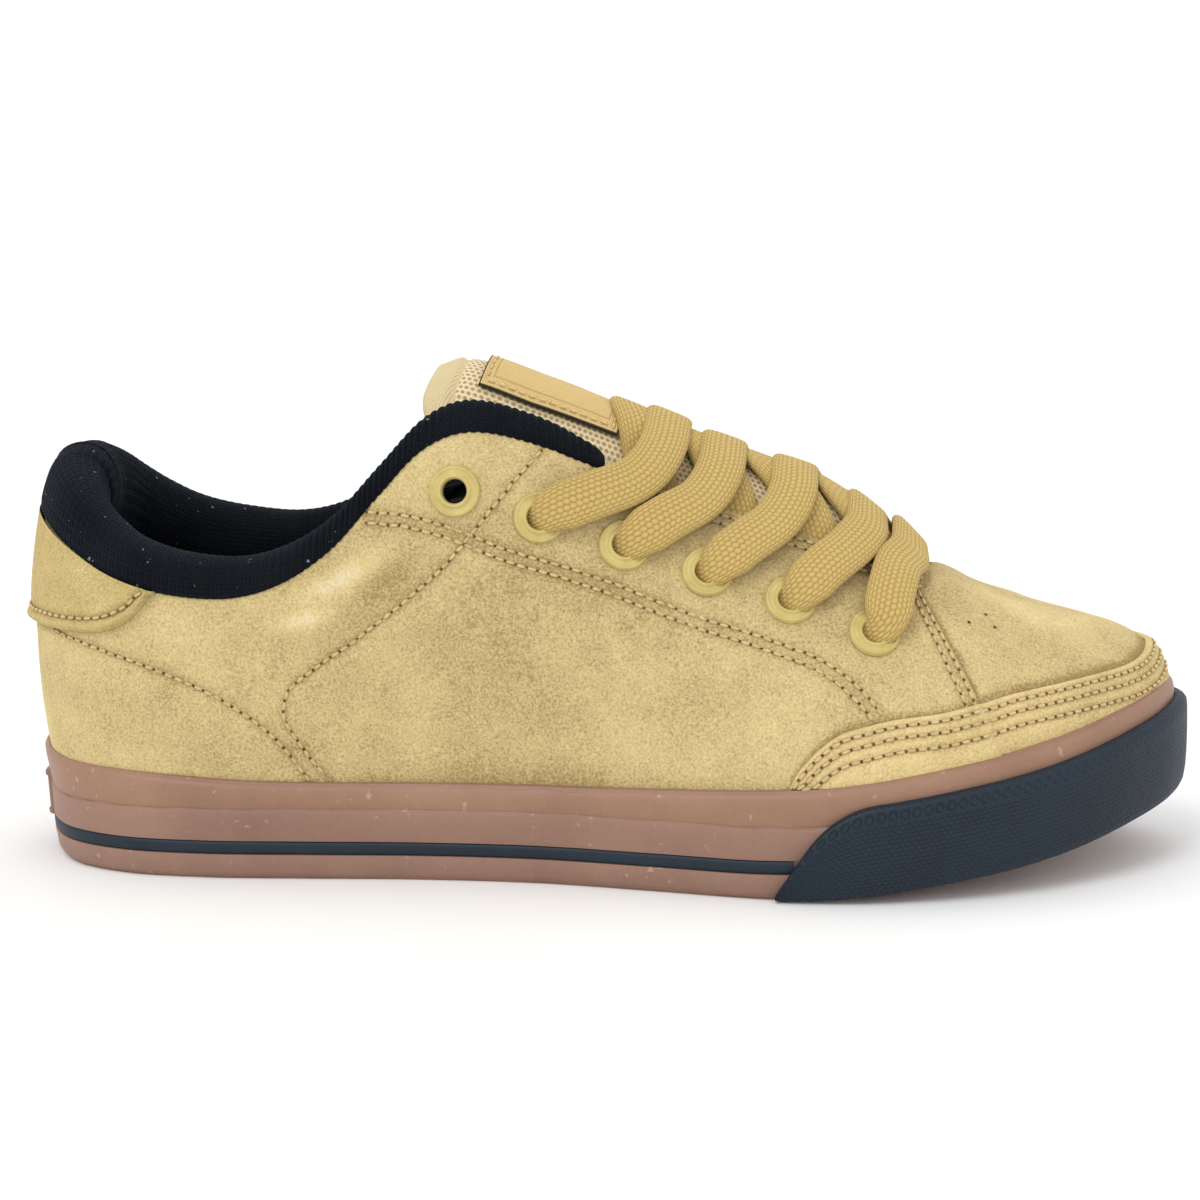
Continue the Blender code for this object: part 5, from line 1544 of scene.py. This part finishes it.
rest = 0.0013  # of the tube's middle over the tongue
bar_stops = [climb_of(side, 1, along(BAR_X), rest + 0.0034) for side in (NEAR, FAR)]
strap("lace_bar_tube", bar_stops[0] + bar_stops[1][-2::-1], ["lace_bar"])
for number, near_x, far_x in LACE_ROWS:
    below = along(EYELET_FIRST) - (number - 2.2) * EYELET_PITCH
    label = 0.0007 if number == LACE_ROWS[-1][0] else 0.0
    for side, ridge_x, lift in ((FAR, far_x, rest), (NEAR, near_x, rest + 0.0016)):
        stops = climb_of(side, number, along(ridge_x), lift + label)
        halfway = (along(ridge_x) + below) / 2
        stops.append(over(on_tongue(halfway, -side * 0.28), rest + label + 0.0003))
        stops.append(over(on_tongue(below, -side * 0.58), rest - 0.0002))
        stops.append(over(on_tongue(below + 0.004, -side * 0.90), 0.0010))
        strap(f"lace_strap_{SIDE_NAMES[side]}_{number}", stops, ["lace_crossings"])


# Studio: a plain pale floor, soft light from above and from the front, and the camera at the angle
# of the photograph, which sees the outer side from a little above.

floor_look, tree, shader = finish_of("pale floor", 0.9, Specular_IOR_Level=0.1)
mottled(tree, shader, 3, 3, (0.86, 0.86, 0.86), (0.90, 0.90, 0.90))
mesh = bmesh.new()
bmesh.ops.create_grid(mesh, x_segments=2, y_segments=2, size=6)
data = bpy.data.meshes.new("floor")
mesh.to_mesh(data)
mesh.free()
data.materials.append(floor_look)
ground = bpy.data.objects.new("floor", data)
bpy.context.scene.collection.objects.link(ground)

world = bpy.data.worlds.new("studio")
bpy.context.scene.world = world
world.use_nodes = True
background = world.node_tree.nodes["Background"]
background.inputs["Color"].default_value = (1.0, 1.0, 1.0, 1)
background.inputs["Strength"].default_value = 1.0


def soft_sun(name, place, angle, strength):
    data = bpy.data.lights.new(name, "SUN")
    data.angle = radians(angle)
    data.energy = strength
    lamp = bpy.data.objects.new(name, data)
    bpy.context.scene.collection.objects.link(lamp)
    lamp.rotation_mode = "QUATERNION"
    lamp.rotation_quaternion = (-Vector(place)).to_track_quat("-Z", "Y")


soft_sun("key", (-0.45, -0.75, 1.0), 30, 0.85)
soft_sun("fill", (0.8, -0.9, 0.45), 60, 0.20)
soft_sun("top", (0.15, 0.55, 1.0), 50, 0.25)

camera_data = bpy.data.cameras.new("camera")
camera = bpy.data.objects.new("camera", camera_data)
bpy.context.scene.collection.objects.link(camera)
camera.location = (0.0631, -0.60724, 0.15596)
aim = (Vector((-0.0007, 0, 0.0483)) - camera.location).normalized()
camera.rotation_mode = "QUATERNION"
tilted = aim.to_track_quat("-Z", "Y").to_matrix() @ Matrix.Rotation(radians(-0.5), 3, "Z")
camera.rotation_quaternion = tilted.to_quaternion()
camera_data.sensor_width = 36
camera_data.lens = 72.85
camera_data.shift_y = 0.05
camera_data.clip_start, camera_data.clip_end = 0.01, 30
bpy.context.scene.camera = camera
bpy.context.scene.view_settings.view_transform = "Standard"
